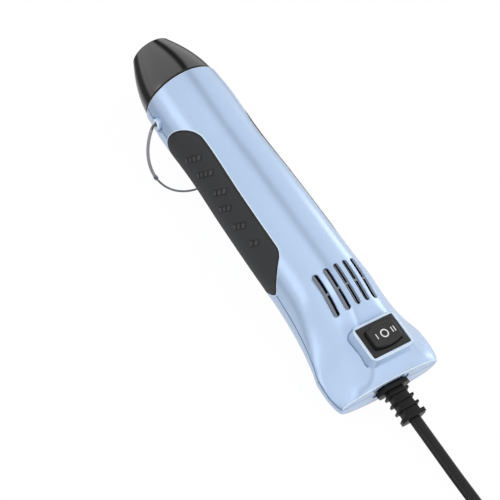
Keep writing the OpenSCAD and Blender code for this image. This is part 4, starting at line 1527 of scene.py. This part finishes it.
def make_floor():
    """Pale floor: white to the camera save the shadow; to gloss it darkens round the tool."""
    bm = bmesh.new()
    bmesh.ops.create_grid(bm, x_segments=1, y_segments=1, size=3.0)
    bmesh.ops.translate(bm, verts=bm.verts, vec=(0, 0, FLOOR_Z - FLOOR_DROP))
    floor = to_object("floor", bm)
    pale = bpy.data.materials.new("pale_floor")
    pale.use_nodes = True
    tree = pale.node_tree
    matt = tree.nodes["Principled BSDF"]
    feed(tree, matt, {"Base Color": (0.9, 0.9, 0.9, 1), "Roughness": 0.9, "Specular IOR Level": 0.0})
    rays = added(tree, "LightPath").outputs
    camera, glossy = rays["Is Camera Ray"], rays["Is Glossy Ray"]
    shape = added(tree, "Mapping", {
        "Vector": added(tree, "TexCoord").outputs["Object"],
        "Location": (*(-at / reach for at, reach in zip(FLOOR_MIDDLE, FLOOR_REACH)), 0),
        "Scale": (*(1 / reach for reach in FLOOR_REACH), 0),
    })
    away = added(tree, "VectorMath", {0: shape.outputs["Vector"]}, operation="LENGTH")
    near = faded(tree, away.outputs["Value"], *FLOOR_DARKENS, 0.0, 1.0)
    far = faded(tree, away.outputs["Value"], *FLOOR_CLEARS, FLOOR_DARKER, 0.0)
    shine = maths(tree, "MULTIPLY", maths(tree, "MULTIPLY_ADD", near, far, FLOOR_LEVEL), glossy)
    glow = added(tree, "Emission", {
        "Strength": maths(tree, "MULTIPLY_ADD", camera, GLOW_LEVEL, shine),
    })
    mix = added(tree, "MixShader", {
        "Fac": maths(tree, "MULTIPLY_ADD", camera, FLOOR_GLOW, glossy),
        1: matt.outputs["BSDF"],
        2: glow.outputs["Emission"],
    })
    feed(tree, tree.nodes["Material Output"], {"Surface": mix.outputs["Shader"]})
    floor.data.materials.append(pale)


class HEATTOOL_OT_stage(bpy.types.Operator):
    """Camera, plain pale floor and soft studio light"""

    bl_idname = "heattool.stage"
    bl_label = "Stage"

    def execute(self, context):
        scene = context.scene
        scene.view_settings.view_transform = "Standard"
        data = bpy.data.cameras.new("camera")
        data.type = "PERSP"
        data.sensor_width = 36
        data.lens = CAMERA_LENS
        data.clip_start, data.clip_end = 0.01, 50
        camera = bpy.data.objects.new("camera", data)
        scene.collection.objects.link(camera)
        turn = Matrix((CAMERA_RIGHT, CAMERA_UP, CAMERA_BACK)).transposed()
        camera.matrix_world = Matrix.Translation(CAMERA_AT) @ turn.to_4x4()
        scene.camera = camera
        make_world(scene)
        make_floor()
        lamp("key_box", (-0.15, 0.35, 1.0), 1.0, (0.9, 0.9), 1.7, glossy=False)
        lamp("right_box", (0.1, -0.93, 0.05), 0.95, (0.45, 0.5), 1.7)
        lamp("right_fill", (0.1, -1.0, 0.1), 0.95, (0.5, 0.5), 2.6, glossy=False)
        lamp("rear_box", (-1.0, -0.28, 0.6), 0.8, (0.5, 0.4), 3.8, glossy=False,
             aim=TOOL_REAR)
        lamp("left_box", (0.4, 0.9, 0.3), 0.95, (0.5, 0.35), 1.15)
        top = lamp("top_box", (-0.1, 0.07, 1.0), 0.9, (0.32, 0.32), 1.4, aim=(-0.2, 0.0, -0.03))
        top.visible_diffuse = False
        return {"FINISHED"}


class HEATTOOL_PT_panel(bpy.types.Panel):
    bl_idname = "HEATTOOL_PT_panel"
    bl_label = "Embossing heat tool"
    bl_space_type = "VIEW_3D"
    bl_region_type = "UI"
    bl_category = "Heat tool"

    def draw(self, context):
        for group in SIZE_GROUPS:
            box = self.layout.box()
            for name in SIZE_GROUPS[group].__annotations__:
                box.prop(sizes(group), name)
        for operator in OPERATORS:
            self.layout.operator(operator.bl_idname)


SIZE_GROUPS = {
    "housing": HousingSizes,
    "switch": SwitchSizes,
    "grip": GripSizes,
    "cord": CordSizes,
    "finishes": Finishes,
}
OPERATORS = (
    HEATTOOL_OT_stage,
    HEATTOOL_OT_inner_finishes,
    HEATTOOL_OT_cord,
    HEATTOOL_OT_housing,
    HEATTOOL_OT_plinth,
    HEATTOOL_OT_vanes,
    HEATTOOL_OT_nose,
    HEATTOOL_OT_grips,
    HEATTOOL_OT_switch,
    HEATTOOL_OT_stand,
    HEATTOOL_OT_relief,
)


def register():
    for group in SIZE_GROUPS.values():
        bpy.utils.register_class(group)
    for operator in OPERATORS:
        bpy.utils.register_class(operator)
    bpy.utils.register_class(HEATTOOL_PT_panel)
    for name, group in SIZE_GROUPS.items():
        setattr(bpy.types.Scene, "heat_tool_" + name, PointerProperty(type=group))


def unregister():
    for name in SIZE_GROUPS:
        delattr(bpy.types.Scene, "heat_tool_" + name)
    bpy.utils.unregister_class(HEATTOOL_PT_panel)
    for operator in reversed(OPERATORS):
        bpy.utils.unregister_class(operator)
    for group in reversed(SIZE_GROUPS.values()):
        bpy.utils.unregister_class(group)


def main():
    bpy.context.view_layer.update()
    register()
    bpy.ops.heattool.stage()
    bpy.ops.heattool.inner_finishes()
    bpy.ops.heattool.cord()
    bpy.ops.heattool.housing()
    bpy.ops.heattool.plinth()
    bpy.ops.heattool.vanes()
    bpy.ops.heattool.nose()
    bpy.ops.heattool.grips()
    bpy.ops.heattool.switch()
    bpy.ops.heattool.stand()
    bpy.ops.heattool.relief()


if __name__ == "__main__":
    main()
